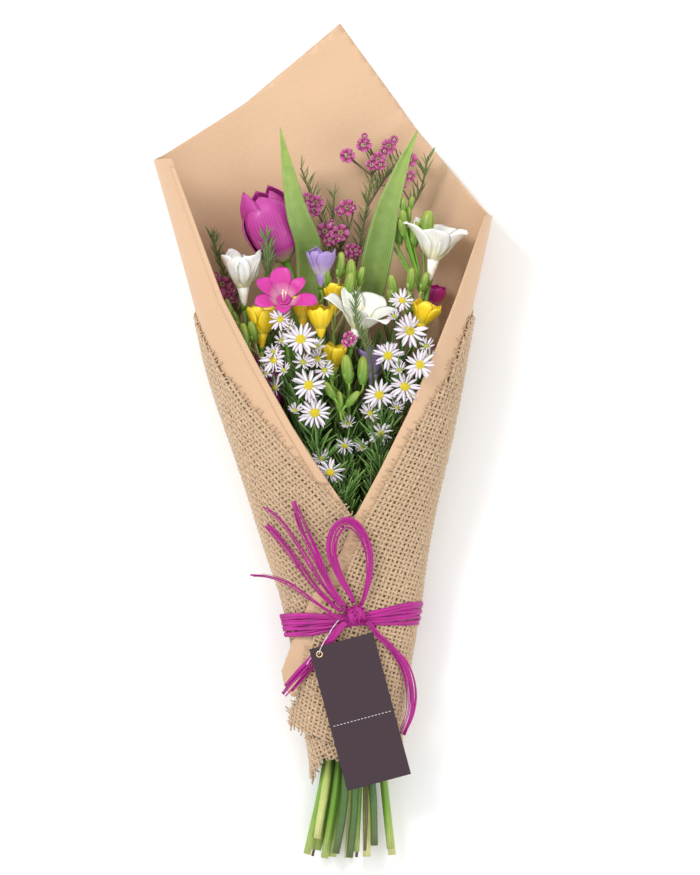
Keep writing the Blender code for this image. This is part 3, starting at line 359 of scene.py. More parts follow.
class Body:
    """Points and faces of one piece, gathered patch by patch in millimetres."""

    def __init__(self) -> None:
        """Start with no patch."""
        self.points: list[np.ndarray] = []
        self.uvs: list[np.ndarray] = []
        self.faces: list[np.ndarray] = []
        self.finishes: list[np.ndarray] = []
        self.count = 0

    def grid(self, grid: np.ndarray, finish: int = 0, wrap: bool = False, flip: bool = False,
             uv: np.ndarray | None = None) -> None:
        """Add a patch of quads.

        Args:
            grid: Rows by columns of points.
            finish: Index of the patch's material.
            wrap: Whether the last column joins the first.
            flip: Whether the faces point the other way.
            uv: Rows by columns of places on the pattern, or none for 0 to 1 each way.
        """
        rows, columns = grid.shape[:2]
        if uv is None:
            u, v = np.meshgrid(np.linspace(0, 1, columns), np.linspace(0, 1, rows))
            uv = np.stack([u, v], axis=-1)
        index = np.arange(rows * columns).reshape(rows, columns) + self.count
        after = np.roll(index, -1, axis=1) if wrap else index[:, 1:]
        here = index if wrap else index[:, :-1]
        quads = np.stack([here[:-1], after[:-1], after[1:], here[1:]], axis=-1).reshape(-1, 4)
        self.points.append(grid.reshape(-1, 3))
        self.uvs.append(uv.reshape(-1, 2))
        self.faces.append(quads[:, ::-1] if flip else quads)
        self.finishes.append(np.full(len(quads), finish))
        self.count += rows * columns

    def blade(self, grid: np.ndarray, thick: float, finish: int = 0) -> None:
        """Add a closed blade that thins to nothing at its edges.

        Args:
            grid: Rows by columns of points on its middle, from its foot to its tip.
            thick: Thickness at its middle.
            finish: Index of its material.
        """
        along = np.gradient(grid, axis=0)
        across = np.gradient(grid, axis=1)
        normal = np.cross(across, along)
        normal /= np.maximum(np.linalg.norm(normal, axis=-1, keepdims=True), 1e-9)
        normal[0], normal[-1] = normal[1], normal[-2]
        edge = np.zeros(grid.shape[:2] + (1,))
        edge[1:-1, 1:-1] = 1.0
        edge[0, 1:-1] = 0.6
        self.grid(grid + normal * edge * thick / 2, finish)
        self.grid(grid - normal * edge * thick / 2, finish, flip=True)

    def tube(self, path: Sequence[Vector], radii: float | Sequence[float], sides: int = 8,
             finish: int = 0, start_finish: int | None = None, flat: float = 1.0,
             twist: float = 0.0, upright: bool = False, closed: bool = False) -> None:
        """Add a rod or a strip with closed ends.

        Args:
            path: Points along its middle.
            radii: Its radius, or one radius for each point.
            sides: How many sides it has.
            finish: Index of its material.
            start_finish: Index of the material of its first end, if it differs.
            flat: Its thickness as a share of its width.
            twist: Turns that it makes about its middle, in radians.
            upright: Whether its width lies along the bouquet.
            closed: Whether its last point is its first.
        """
        points = np.array([tuple(p) for p in path], float)
        radius = np.broadcast_to(np.asarray(radii, float), (len(points),))
        run = np.gradient(points, axis=0)
        run /= np.maximum(np.linalg.norm(run, axis=1, keepdims=True), 1e-9)
        if closed:
            run[0] = run[-1] = (run[0] + run[-1]) / np.linalg.norm(run[0] + run[-1])
        side = np.array((0.0, 1.0, 0.0)) if upright else np.cross(run[0], (0.0, 0.31, 0.95))
        side /= np.linalg.norm(side)
        turns = np.linspace(0, 2 * math.pi, sides, endpoint=False)
        rings = []
        for number, (place, ahead, size) in enumerate(zip(points, run, radius)):
            side = side - ahead * side.dot(ahead)
            side /= np.linalg.norm(side)
            spin = twist * number / len(points)
            other = np.cross(ahead, side)
            wide = math.cos(spin) * side + math.sin(spin) * other
            thin = (math.cos(spin) * other - math.sin(spin) * side) * flat
            rings.append(place + size * (np.cos(turns)[:, None] * wide
                                         + np.sin(turns)[:, None] * thin))
        rings = np.stack(rings)
        steps = np.linalg.norm(np.diff(points, axis=0), axis=1)
        length = np.concatenate([[0.0], np.cumsum(steps)])
        u, v = np.meshgrid(np.linspace(0, 1, sides, endpoint=False), length)
        self.grid(rings, finish, wrap=True, uv=np.stack([u, v / 100], axis=-1))
        if closed:
            return
        for ring, place, flip, kind in ((rings[0], points[0], True,
                                         finish if start_finish is None else start_finish),
                                        (rings[-1], points[-1], False, finish)):
            cap = np.stack([ring, np.broadcast_to(place, ring.shape)])
            cap_uv = np.stack([np.stack([np.cos(turns), np.sin(turns)], axis=-1) / 2 + 0.5,
                               np.full((sides, 2), 0.5)])
            self.grid(cap, kind, wrap=True, flip=flip, uv=cap_uv)

    def lathe(self, place: Matrix, profile: Sequence[tuple[float, float]], sides: int,
              finish: int = 0, ridges: tuple[int, float] = (0, 0.0)) -> None:
        """Add a turned solid.

        Args:
            place: Its place, with its axis along +Z.
            profile: Radius and height of each ring, from its foot to its tip.
            sides: How many sides it has.
            finish: Index of its material.
            ridges: How many ridges run up it, and how deep they are as a share of its radius.
        """
        turns = np.linspace(0, 2 * math.pi, sides, endpoint=False)
        swell = 1 + ridges[1] * np.cos(ridges[0] * turns)
        rings = [np.stack([r * swell * np.cos(turns), r * swell * np.sin(turns),
                           np.full(sides, h)], axis=-1) for r, h in profile]
        self.grid(moved(np.stack(rings), place), finish, wrap=True)

    def made(self, name: str, *finishes: "Finish", smooth: bool = True) -> Item:
        """Object of all the patches, welded where they meet.

        Args:
            name: Name of the piece.
            finishes: Its finishes, in the order of their indices.
            smooth: Whether its faces are shaded smooth.

        Returns:
            The object, at the origin, with its mesh in metres.
        """
        faces = np.concatenate(self.faces)
        mesh = bpy.data.meshes.new(name)
        mesh.vertices.add(self.count)
        mesh.vertices.foreach_set("co", (np.concatenate(self.points) * MM).ravel())
        mesh.loops.add(faces.size)
        mesh.loops.foreach_set("vertex_index", faces.ravel())
        mesh.polygons.add(len(faces))
        mesh.polygons.foreach_set("loop_start", np.arange(0, faces.size, 4))
        mesh.polygons.foreach_set("material_index", np.concatenate(self.finishes))
        mesh.uv_layers.new(name="UVMap")
        mesh.uv_layers["UVMap"].data.foreach_set(
            "uv", np.concatenate(self.uvs)[faces.ravel()].ravel())
        for finish in finishes:
            mesh.materials.append(finish.material())
        mesh.update(calc_edges=True)
        weld(mesh)
        mesh.polygons.foreach_set("use_smooth", np.full(len(mesh.polygons), smooth))
        return placed_object(name, mesh)


def moved(grid: np.ndarray, place: Matrix) -> np.ndarray:
    """Points turned and moved by a matrix."""
    turn = np.array(place.to_3x3())
    return grid @ turn.T + np.array(place.translation)


def weld(mesh: Mesh) -> None:
    """Merge points that meet and drop faces with no area.

    Args:
        mesh: The mesh, which is changed.
    """
    shape = bmesh.new()
    shape.from_mesh(mesh)
    bmesh.ops.remove_doubles(shape, verts=shape.verts, dist=MM / 200)
    bmesh.ops.dissolve_degenerate(shape, edges=shape.edges, dist=MM / 500)
    shape.to_mesh(mesh)
    shape.free()


def placed_object(name: str, data: bpy.types.ID) -> Item:
    """Put data in the scene.

    Args:
        name: Name of the object.
        data: Its mesh, camera or light.

    Returns:
        The object, in the scene's own collection.
    """
    item = bpy.data.objects.new(name, data)
    bpy.context.scene.collection.objects.link(item)
    return item


def settle(piece: Item, slot: str, *nodes: str) -> Item:
    """Let a finished piece ride on the bouquet and stand for its nodes.

    Args:
        piece: The finished piece.
        slot: The record's material slot for the piece; not used.
        nodes: The solids that it replaces.

    Returns:
        The same piece.
    """
    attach(piece, "root")
    if nodes:
        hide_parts(*nodes)
    LOG.info("%s: %d faces", piece.name, len(piece.data.polygons))
    return piece


class Shades:
    """Adds nodes to a tree and links them by their sockets' names."""

    def __init__(self, tree: Tree) -> None:
        """Work on one tree."""
        self.tree = tree

    def feed(self, node: Node, values: dict) -> Node:
        """Link or set the inputs of a node.

        Args:
            node: The node.
            values: Sockets' names or places, with a value or a socket to link from.

        Returns:
            The same node.
        """
        for name, value in values.items():
            if isinstance(value, Socket):
                self.tree.links.new(value, node.inputs[name])
            else:
                node.inputs[name].default_value = value
        return node

    def add(self, kind: str, values: dict | None = None, **settings: object) -> Node:
        """Add a node.

        Args:
            kind: Its type.
            values: Its inputs, as feed takes them.
            settings: Its own properties.

        Returns:
            The node.
        """
        node = self.tree.nodes.new(kind)
        for name, value in settings.items():
            setattr(node, name, value)
        return self.feed(node, values or {})

    def group(self, tree: Tree, values: dict) -> Node:
        """Place a shader group with its own values."""
        return self.add("ShaderNodeGroup", values, node_tree=tree)

    def math(self, operation: str, *values: float | Socket) -> Socket:
        """Result of one sum on one, two or three values."""
        return self.add("ShaderNodeMath", dict(enumerate(values)), operation=operation).outputs[0]

    def blend(self, share: Socket, low: Colour | Socket, high: Colour | Socket) -> Socket:
        """Colour between two colours or colour sockets."""
        low, high = (v if isinstance(v, Socket) else (*v, 1.0) for v in (low, high))
        return self.add("ShaderNodeMix", {0: share, 6: low, 7: high}, data_type="RGBA").outputs[2]

    def span(self, value: Socket, low: float | Socket, high: float | Socket,
             to_low: float = 0.0, to_high: float = 1.0) -> Socket:
        """Value mapped from one range to another, and held inside it."""
        return self.add("ShaderNodeMapRange", {"Value": value, "From Min": low, "From Max": high,
                                               "To Min": to_low, "To Max": to_high}).outputs[0]


def new_group(name: str, inputs: Sequence[tuple[str, str, object]], *outputs: tuple[str, str],
              kind: str = "ShaderNodeTree") -> tuple[Shades, Node, Node]:
    """Empty group with named sockets.

    Args:
        name: Name of the group.
        inputs: Name, kind and start value of each input.
        outputs: Name and kind of each output.
        kind: Kind of tree.

    Returns:
        Its nodes' helper, its input node and its output node.
    """
    tree = bpy.data.node_groups.new(name, kind)
    for label, socket_type, value in inputs:
        socket = tree.interface.new_socket(label, in_out="INPUT", socket_type=socket_type)
        if value is not None:
            socket.default_value = value
    for label, socket_type in outputs:
        tree.interface.new_socket(label, in_out="OUTPUT", socket_type=socket_type)
    shades = Shades(tree)
    return shades, shades.add("NodeGroupInput"), shades.add("NodeGroupOutput")


FLOAT, VECTOR, RGBA = "NodeSocketFloat", "NodeSocketVector", "NodeSocketColor"


def fibre_group() -> Tree:
    """Streaks that run along one direction, as in raffia, paper and petals."""
    shades, inside, out = new_group(
        "Fibre Streaks", [("Vector", VECTOR, None), ("Across", FLOAT, 60.0),
                          ("Along", FLOAT, 2.0), ("Sharpness", FLOAT, 0.25)], ("Mask", FLOAT))
    across, sharpness = inside.outputs["Across"], inside.outputs["Sharpness"]
    stretch = shades.add("ShaderNodeCombineXYZ", {"X": across, "Y": inside.outputs["Along"],
                                                  "Z": across})
    scaled = shades.add("ShaderNodeVectorMath", {0: inside.outputs["Vector"],
                                                 1: stretch.outputs[0]}, operation="MULTIPLY")
    noise = shades.add("ShaderNodeTexNoise", {"Vector": scaled.outputs[0], "Scale": 1.0,
                                              "Detail": 3.0, "Roughness": 0.6})
    shades.feed(out, {"Mask": shades.span(
        noise.outputs[0], shades.math("SUBTRACT", 0.5, sharpness),
        shades.math("ADD", 0.5, sharpness))})
    return shades.tree


def mottle_group() -> Tree:
    """Soft uneven colour, as in anything grown or dyed."""
    shades, inside, out = new_group(
        "Uneven Colour", [("Vector", VECTOR, None), ("Scale", FLOAT, 100.0),
                          ("Colour", RGBA, None), ("Other", RGBA, None),
                          ("Amount", FLOAT, 0.5)], ("Colour", RGBA), ("Mask", FLOAT))
    noise = shades.add("ShaderNodeTexNoise", {"Vector": inside.outputs["Vector"],
                                              "Scale": inside.outputs["Scale"], "Detail": 2.0})
    mask = shades.span(noise.outputs[0], 0.32, 0.68)
    share = shades.math("MULTIPLY", mask, inside.outputs["Amount"])
    mixed = shades.blend(share, inside.outputs["Colour"], inside.outputs["Other"])
    shades.feed(out, {"Colour": mixed, "Mask": mask})
    return shades.tree


def vein_group() -> Tree:
    """Veins that run from the foot of a petal or leaf to its tip."""
    shades, inside, out = new_group(
        "Lengthwise Veins", [("Across", FLOAT, 0.0), ("Vector", VECTOR, None),
                             ("Count", FLOAT, 12.0), ("Wander", FLOAT, 0.3)], ("Mask", FLOAT))
    noise = shades.add("ShaderNodeTexNoise", {"Vector": inside.outputs["Vector"], "Scale": 3.0})
    wander = shades.math("MULTIPLY", noise.outputs[0], inside.outputs["Wander"])
    place = shades.math("ADD", inside.outputs["Across"], shades.math("MULTIPLY", wander, 0.1))
    turns = shades.math("MULTIPLY", shades.math("MULTIPLY", place, inside.outputs["Count"]),
                        2 * math.pi)
    shades.feed(out, {"Mask": shades.span(shades.math("SINE", turns), 0.35, 1.0)})
    return shades.tree


FIBRES = fibre_group()
MOTTLE = mottle_group()
VEINS = vein_group()


def toned(colour: Colour, factor: float) -> Colour:
    """A colour made darker or lighter."""
    return tuple(min(1.0, part * factor) for part in colour)


class Skin(Shades):
    """Nodes of one material, round its Principled shader and its texture coordinates."""

    def __init__(self, name: str, roughness: float) -> None:
        """Start a material.

        Args:
            name: Name of the material.
            roughness: Roughness before any unevenness.
        """
        self.material = bpy.data.materials.new(name)
        self.material.use_nodes = True
        super().__init__(self.material.node_tree)
        self.shader = self.feed(self.tree.nodes["Principled BSDF"], {"Roughness": roughness})
        place = self.add("ShaderNodeTexCoord")
        self.pattern, self.place = place.outputs["UV"], place.outputs["Object"]

    def mottle(self, scale: float, colour: Colour | Socket, other: Colour, amount: float) -> Socket:
        """Feed an uneven base colour to the shader.

        Args:
            scale: Turns of the unevenness in a metre.
            colour: Main colour.
            other: Colour that it drifts to.
            amount: How far it drifts, from 0 to 1.

        Returns:
            The mask of the drift.
        """
        main = colour if isinstance(colour, Socket) else (*colour, 1.0)
        drift = self.group(MOTTLE, {"Vector": self.place, "Scale": scale, "Colour": main,
                                    "Other": (*other, 1.0), "Amount": amount})
        self.feed(self.shader, {"Base Color": drift.outputs["Colour"]})
        return drift.outputs["Mask"]

    def relief(self, mask: Socket, rough: tuple[float, float], height: Socket, strength: float,
               depth: float) -> Material:
        """Feed uneven roughness and a relief to the shader.

        Args:
            mask: Mask that leads the roughness.
            rough: Roughness where the mask is 0 and where it is 1.
            height: Height of the relief.
            strength: Strength of the relief.
            depth: Depth of the relief, in metres.

        Returns:
            The finished material.
        """
        bump = self.add("ShaderNodeBump", {"Height": height, "Strength": strength,
                                           "Distance": depth})
        self.feed(self.shader, {"Roughness": self.span(mask, 0.0, 1.0, *rough),
                                "Normal": bump.outputs[0]})
        return self.material


@dataclass(frozen=True)
class GrownFinish:
    """Finish of a petal, leaf or stem, with colours that run from its foot to its tip.

    The middle and the tip colours start at places, from 0 to 1. veins is how many veins lie
    across it, and glow is the share of light that passes through it.
    """

    name: str
    foot: Colour
    middle: Colour
    tip: Colour
    vein: Colour
    veins: float = 14.0
    vein_share: float = 0.3
    roughness: float = 0.5
    places: tuple[float, float] = (0.4, 0.95)
    glow: float = 0.12

    def build(self) -> Material:
        """Make the material."""
        skin = Skin(self.name, self.roughness)
        uv = skin.add("ShaderNodeSeparateXYZ", {0: skin.pattern})
        ramp = skin.add("ShaderNodeValToRGB", {0: uv.outputs["Y"]})
        stops = ramp.color_ramp.elements
        stops[0].color = (*self.foot, 1.0)
        stops[1].color = (*self.tip, 1.0)
        stops[1].position = self.places[1]
        stops.new(self.places[0]).color = (*self.middle, 1.0)
        veins = skin.group(VEINS, {"Across": uv.outputs["X"], "Count": self.veins,
                                   "Vector": skin.pattern}).outputs[0]
        share = skin.math("MULTIPLY", veins, self.vein_share)
        mask = skin.mottle(160.0, skin.blend(share, ramp.outputs[0], self.vein),
                           toned(self.middle, 0.72), 0.3)
        skin.feed(skin.shader, {"Subsurface Weight": self.glow, "Subsurface Scale": 0.003,
                                "Subsurface Radius": (0.6, 0.5, 0.3)})
        return skin.relief(mask, (self.roughness - 0.07, self.roughness + 0.1), veins, 0.35, 0.0002)


@dataclass(frozen=True)
class FibreFinish:
    """Finish of raffia, yarn, thread or twine, with light fibres on dark.

    across and along count its streaks across its width and along one unit of its pattern, and
    depth is theirs in metres. attributes is for a pattern kept as attributes of those names.
    """

    name: str
    dark: Colour
    light: Colour
    across: float = 12.0
    along: float = 3.0
    roughness: float = 0.5
    depth: float = 0.0002
    sheen: float = 0.0
    attributes: bool = False

    def build(self) -> Material:
        """Make the material."""
        skin = Skin(self.name, self.roughness)
        pattern = skin.pattern
        if self.attributes:
            pattern = skin.add("ShaderNodeCombineXYZ", {
                axis: skin.add("ShaderNodeAttribute", attribute_name=name).outputs["Fac"]
                for axis, name in (("X", "around"), ("Y", "along"))}).outputs[0]
        fibres = skin.group(FIBRES, {"Vector": pattern, "Across": self.across,
                                     "Along": self.along}).outputs[0]
        skin.mottle(45.0, skin.blend(fibres, self.dark, self.light), toned(self.light, 0.7), 0.4)
        skin.feed(skin.shader, {"Sheen Weight": self.sheen})
        return skin.relief(fibres, (self.roughness + 0.15, self.roughness), fibres, 0.6, self.depth)


@dataclass(frozen=True)
class KraftFinish:
    """Finish of the brown kraft paper, with its fine laid lines, line_pitch metres apart."""

    name: str
    colour: Colour
    shade: Colour
    line_pitch: float = 0.0019

    def build(self) -> Material:
        """Make the material."""
        skin = Skin(self.name, 0.5)
        uv = skin.add("ShaderNodeSeparateXYZ", {0: skin.pattern})
        turns = skin.math("MULTIPLY", uv.outputs["Y"], 2 * math.pi * MM / self.line_pitch)
        lines = skin.span(skin.math("SINE", turns), -0.2, 1.0)
        fibres = skin.group(FIBRES, {"Vector": skin.place, "Across": 900.0, "Along": 260.0,
                                     "Sharpness": 0.2}).outputs[0]
        lined = skin.blend(skin.math("MULTIPLY", lines, 0.22), self.colour, self.shade)
        fibred = skin.blend(skin.math("MULTIPLY", fibres, 0.16), lined, self.shade)
        skin.mottle(9.0, fibred, toned(self.colour, 1.14), 0.4)
        height = skin.math("ADD", lines, skin.math("MULTIPLY", fibres, 0.6))
        return skin.relief(lines, (0.42, 0.56), height, 0.25, 0.00008)


@dataclass(frozen=True)
class PlainFinish:
    """Finish of card, metal, pollen or floor.

    Its colour drifts to another in a grain of that many turns a metre, depth metres deep.
    """

    name: str
    colour: Colour
    other: Colour
    grain: float = 900.0
    roughness: float = 0.5
    metallic: float = 0.0
    depth: float = 0.00005

    def build(self) -> Material:
        """Make the material."""
        skin = Skin(self.name, self.roughness)
        mask = skin.mottle(self.grain, self.colour, self.other, 0.6)
        skin.feed(skin.shader, {"Metallic": self.metallic, "Specular IOR Level": 0.3})
        return skin.relief(mask, (self.roughness - 0.06, self.roughness + 0.08), mask, 0.3,
                           self.depth)


class Finish(Enum):
    """Every finish of the bouquet."""

    KRAFT = KraftFinish("kraft_paper_finish", (0.60, 0.395, 0.245), (0.38, 0.225, 0.12))
    YARN = FibreFinish("jute_yarn", (0.26, 0.155, 0.08), (0.80, 0.58, 0.37), 5.0, 260.0, 0.85,
                       0.0004, 0.25, True)
    # Near-black brown of the burlap sheet: painted shade of the gaps between the yarns
    CLOTH = FibreFinish("jute_ground", (0.075, 0.043, 0.02), (0.15, 0.09, 0.045), 0.9, 0.9, 0.95,
                        0.0003)
    # Raffia's dark streaks: partly uneven dye, partly painted shade in the strips' creases
    RAFFIA = FibreFinish("dyed_raffia", (0.12, 0.0, 0.07), (0.60, 0.002, 0.33), 9.0, 5.0, 0.38,
                         0.0004)
    THREAD = FibreFinish("pale_thread", (0.42, 0.42, 0.40), (0.78, 0.78, 0.74), 4.0, 300.0, 0.6)
    TWINE = FibreFinish("florist_twine", (0.06, 0.10, 0.03), (0.20, 0.28, 0.10), 4.0, 90.0, 0.8)
    CARD = PlainFinish("plum_card", (0.040, 0.022, 0.030), (0.055, 0.032, 0.042), 1600.0, 0.62)
    DASH = PlainFinish("pale_dash", (0.78, 0.76, 0.76), (0.66, 0.63, 0.63), 700.0, 0.6)
    EYELET = PlainFinish("brass_eyelet", (0.85, 0.68, 0.38), (0.72, 0.56, 0.30), 600.0, 0.3, 1.0)
    TULIP = GrownFinish("tulip_petal", (0.62, 0.60, 0.30), (0.40, 0.025, 0.24),
                        (0.52, 0.05, 0.34), (0.22, 0.004, 0.11), 16, 0.45, 0.42, (0.22, 0.95))
    TULIP_LEAF = GrownFinish("tulip_leaf_blade", (0.30, 0.40, 0.10), (0.16, 0.27, 0.06),
                             (0.30, 0.42, 0.07), (0.40, 0.50, 0.17), 16, 0.7, 0.38)
    PINK = GrownFinish("pink_freesia", (0.80, 0.60, 0.60), (0.58, 0.03, 0.31),
                       (0.60, 0.03, 0.36), (0.42, 0.0, 0.16), 9, 0.4, 0.42, (0.38, 0.95), 0.2)
    WHITE = GrownFinish("white_freesia", (0.78, 0.74, 0.30), (0.93, 0.92, 0.84),
                        (0.97, 0.97, 0.95), (0.80, 0.80, 0.62), 9, 0.3, 0.42, (0.42, 0.9), 0.3)
    LILAC = GrownFinish("lilac_freesia", (0.72, 0.68, 0.60), (0.38, 0.26, 0.56),
                        (0.42, 0.30, 0.62), (0.22, 0.10, 0.44), 9, 0.4, 0.42, (0.4, 0.95), 0.2)
    YELLOW = GrownFinish("yellow_freesia", (0.72, 0.62, 0.06), (0.97, 0.66, 0.01),
                         (1.0, 0.82, 0.05), (0.90, 0.34, 0.0), 9, 0.35, 0.4, (0.35, 0.95), 0.25)
    RAY = GrownFinish("aster_ray", (0.84, 0.80, 0.78), (0.90, 0.83, 0.87), (0.84, 0.72, 0.82),
                      (0.74, 0.60, 0.74), 4, 0.35, 0.5, (0.35, 0.95), 0.25)
    DISC = PlainFinish("aster_disc", (0.80, 0.62, 0.03), (0.55, 0.55, 0.05), 700.0, 0.6)
    BUD_GREEN = GrownFinish("freesia_bud", (0.07, 0.17, 0.02), (0.15, 0.28, 0.03),
                            (0.42, 0.48, 0.08), (0.08, 0.18, 0.02), 8, 0.5, 0.4)
    STEM_BRIGHT = GrownFinish("bright_stem_skin", (0.46, 0.52, 0.16), (0.19, 0.38, 0.035),
                              (0.15, 0.32, 0.04), (0.10, 0.22, 0.03), 10, 0.3, 0.4, (0.3, 3.0))
    STEM_LIGHT = GrownFinish("light_stem_skin", (0.66, 0.64, 0.28), (0.42, 0.51, 0.11),
                             (0.28, 0.42, 0.08), (0.25, 0.34, 0.10), 10, 0.3, 0.4, (0.5, 3.0))
    STEM_DARK = GrownFinish("dark_stem_skin", (0.10, 0.13, 0.045), (0.07, 0.15, 0.035),
                            (0.08, 0.18, 0.03), (0.04, 0.07, 0.02), 8, 0.3, 0.5, (0.3, 3.0))
    CUT = PlainFinish("cut_stem", (0.72, 0.70, 0.46), (0.50, 0.55, 0.26), 800.0, 0.6)
    FOLIAGE = GrownFinish("linear_leaf", (0.07, 0.16, 0.03), (0.10, 0.23, 0.045),
                          (0.22, 0.37, 0.08), (0.20, 0.34, 0.11), 3, 0.5, 0.45)
    WOOD = GrownFinish("woody_twig", (0.16, 0.10, 0.06), (0.14, 0.13, 0.05), (0.13, 0.18, 0.05),
                       (0.07, 0.05, 0.03), 8, 0.4, 0.65, (0.5, 3.0))
    NEEDLE = GrownFinish("waxflower_needle", (0.10, 0.14, 0.04), (0.15, 0.24, 0.07),
                         (0.22, 0.28, 0.10), (0.20, 0.30, 0.10), 2, 0.3, 0.5)
    WAX_PETAL = GrownFinish("waxflower_petal", (0.16, 0.01, 0.06), (0.46, 0.05, 0.24),
                            (0.60, 0.22, 0.42), (0.30, 0.01, 0.12), 5, 0.4, 0.4, (0.4, 0.95), 0.2)
    WAX_CUP = PlainFinish("waxflower_cup", (0.16, 0.10, 0.05), (0.26, 0.07, 0.09), 500.0, 0.5)
    POLLEN = PlainFinish("pale_anther", (0.90, 0.86, 0.70), (0.85, 0.70, 0.30), 500.0, 0.6)
    FLOOR = PlainFinish("pale_floor", (0.93, 0.93, 0.93), (0.92, 0.92, 0.92), 3.0, 0.8)

    def material(self) -> Material:
        """The finish's material, made at its first use."""
        return bpy.data.materials.get(self.value.name) or self.value.build()


PETAL_SLOTS = {Finish.WHITE: "white_petal", Finish.PINK: "pink_petal",
               Finish.LILAC: "lilac_petal", Finish.YELLOW: "yellow_petal"}
# How much wider than its solid a freesia opens, by colour and otherwise
PETAL_SPREAD = {Finish.YELLOW: 1.12, Finish.PINK: 1.22}
PLAIN_SPREAD = 1.2
# How much thicker the stems are below the wrap, and the middle that they splay from
STEM_SWELL = 1.25
STEM_MIDDLE = 21.0
STEM_SPLAY = 0.24

# Radius, then places across, along and above the wrap's top
RAFFIA_RUNS = {
    "raffia_loop": (2.4, ((22.5, -117.5, 5.5), (13.5, -101, 7), (7.5, -83, 8), (10, -68, 8),
                          (18.8, -61, 8), (28, -67, 8), (34.5, -82, 8), (35, -101, 7),
                          (31, -118, 5.5))),
    "raffia_tail_1": (2.0, ((14, -120.5, 8), (6, -108, 9.5), (-3, -90, 7), (-13, -68, 5),
                            (-21, -46, 4))),
    "raffia_tail_2": (1.0, ((13.8, -124.2, 12.5), (-2, -104, 12), (-18, -78, 9), (-31, -60, 9),
                            (-43.5, -50, 10))),
    "raffia_tail_3": (1.6, ((12, -126.6, 5.2), (-4, -111, 5.5), (-22, -86, 4), (-33, -72, 4),
                            (-41, -64, 4))),
    "raffia_tail_4": (0.9, ((12.4, -133, 8.5), (-8, -119, 8.5), (-26, -107, 9), (-40, -102, 10),
                            (-53, -101, 10))),
    "raffia_tail_5": (2.6, ((15, -139, 5.6), (5, -151, 4.4), (-7, -165, 4.4), (-18, -179, 4.6),
                            (-28, -191, 5))),
    "raffia_tail_6": (2.2, ((36, -138, 5.5), (42, -146, 4), (52, -156, 4.5), (62, -170, 6),
                            (67, -188, 6), (66, -205, 8), (60, -220, 8))),
}

# Base of the bloom, its axis, length, radius, roll and the stem's cut end
TULIPS = (((-27, 133.5, 34), (-0.42, 1.0, 0.06), 60, 18.5, 0.5, -314),
          ((-34, 20, 26.5), (-0.2, 1.0, 0.05), 46, 13, 0.2, -309))
# Path, half width and fold
TULIP_LEAVES = ((((-12, 88, 26), (-9.3, 120, 32), (-10.3, 146, 42), (-19, 172, 56), (-27, 210, 62),
                  (-31.5, 235, 62)), 9.0, 0.25),
                (((29, 84, 22), (36.3, 112, 27), (42.0, 140, 36), (49.0, 172, 46), (60, 205, 52),
                  (72, 233, 54)), 10.0, 0.35))

# Base of the flower, its axis, length, openness, roll and colour
FREESIAS = {
    "freesia_white_1": ((-58, 97, 50), (-0.06, 1.0, 0.12), 45, 0.3, 0.3, Finish.WHITE),
    "freesia_white_2": ((22, 68, 60), (0.28, 1.0, 0.42), 46, 0.75, 0.1, Finish.WHITE),
    "freesia_white_3": ((80, 116, 49), (0.18, 1.0, 0.18), 52, 0.6, 0.4, Finish.WHITE),
    "freesia_magenta_1": ((-28.5, 97, 57), (0.0, 0.6, 0.8), 31, 1.0, 0.6, Finish.PINK),
    "freesia_magenta_2": ((79, 91, 29), (0.22, 1.0, 0.15), 26, 0.2, 0.2, Finish.PINK),
    "freesia_lilac": ((-1, 113, 54), (0.03, 1.0, 0.1), 30, 0.25, 0.0, Finish.LILAC),
    "freesia_purple": ((37.5, 36, 42), (0.12, 1.0, 0.2), 38, 0.45, 0.3, Finish.LILAC),
    "freesia_yellow_1": ((-45, 66, 56), (0.0, 1.0, 0.1), 36, 0.25, 0.2, Finish.YELLOW),
    "freesia_yellow_2": ((-15, 83, 60.5), (0.1, 1.0, 0.05), 25, 0.3, 0.5, Finish.YELLOW),
    "freesia_yellow_3": ((9, 92, 46), (0.05, 1.0, 0.05), 27, 0.4, 0.1, Finish.YELLOW),
    "freesia_yellow_4": ((-1, 74, 69), (0.0, 1.0, 0.1), 27, 0.22, 0.4, Finish.YELLOW),
    "freesia_yellow_5": ((8, 46, 60), (0.05, 1.0, 0.12), 26, 0.25, 0.0, Finish.YELLOW),
    "freesia_yellow_6": ((72, 78, 60), (0.3, 1.0, 0.15), 28, 0.4, 0.3, Finish.YELLOW),
}
# Main flower, cut end, flowers on side stalks, buds (foot, axis, length, radius) and finish
SPIKES = (
    ("freesia_white_1", -312, (), (((-68, 92, 52), (-0.3, 1, 0.3), 16, 3.2),), Finish.STEM_BRIGHT),
    ("freesia_yellow_1", -300, (), (((-57, 66, 64), (-0.1, 1, 0.2), 24, 4.4),), Finish.STEM_LIGHT),
    ("freesia_magenta_1", -315, ("freesia_lilac",), (), Finish.STEM_BRIGHT),
    ("freesia_yellow_3", -315, ("freesia_yellow_4", "freesia_yellow_2", "freesia_yellow_5"),
     (((22, 112, 50), (0.0, 1, 0.15), 26, 4.4),), Finish.STEM_LIGHT),
    ("freesia_white_2", -310, (), (((20, 44, 75), (-0.1, 1, 0.2), 22, 4.4),
                                   ((30.5, 43, 74), (0.05, 1, 0.1), 22, 4.2),
                                   ((14, 22, 72), (-0.1, 1, 0.1), 16, 3.4)), Finish.STEM_BRIGHT),
    ("freesia_purple", -314, (), (((42, 18, 52), (0.3, 1, 0.1), 15, 2.8),), Finish.STEM_LIGHT),
    ("freesia_white_3", -308, ("freesia_yellow_6",),
     (((58, 148, 40), (-0.1, 1, 0.1), 22, 3.6), ((50, 156, 38), (-0.2, 1, 0.1), 20, 3.4),
      ((66, 142, 40), (0.0, 1, 0.1), 20, 3.6)), Finish.STEM_BRIGHT),
    ("freesia_magenta_2", -313, (),
     (((66, 94, 36), (0.0, 1, 0.2), 20, 3.6), ((54, 98, 38), (-0.2, 1, 0.1), 18, 3.6)),
     Finish.STEM_LIGHT),
)

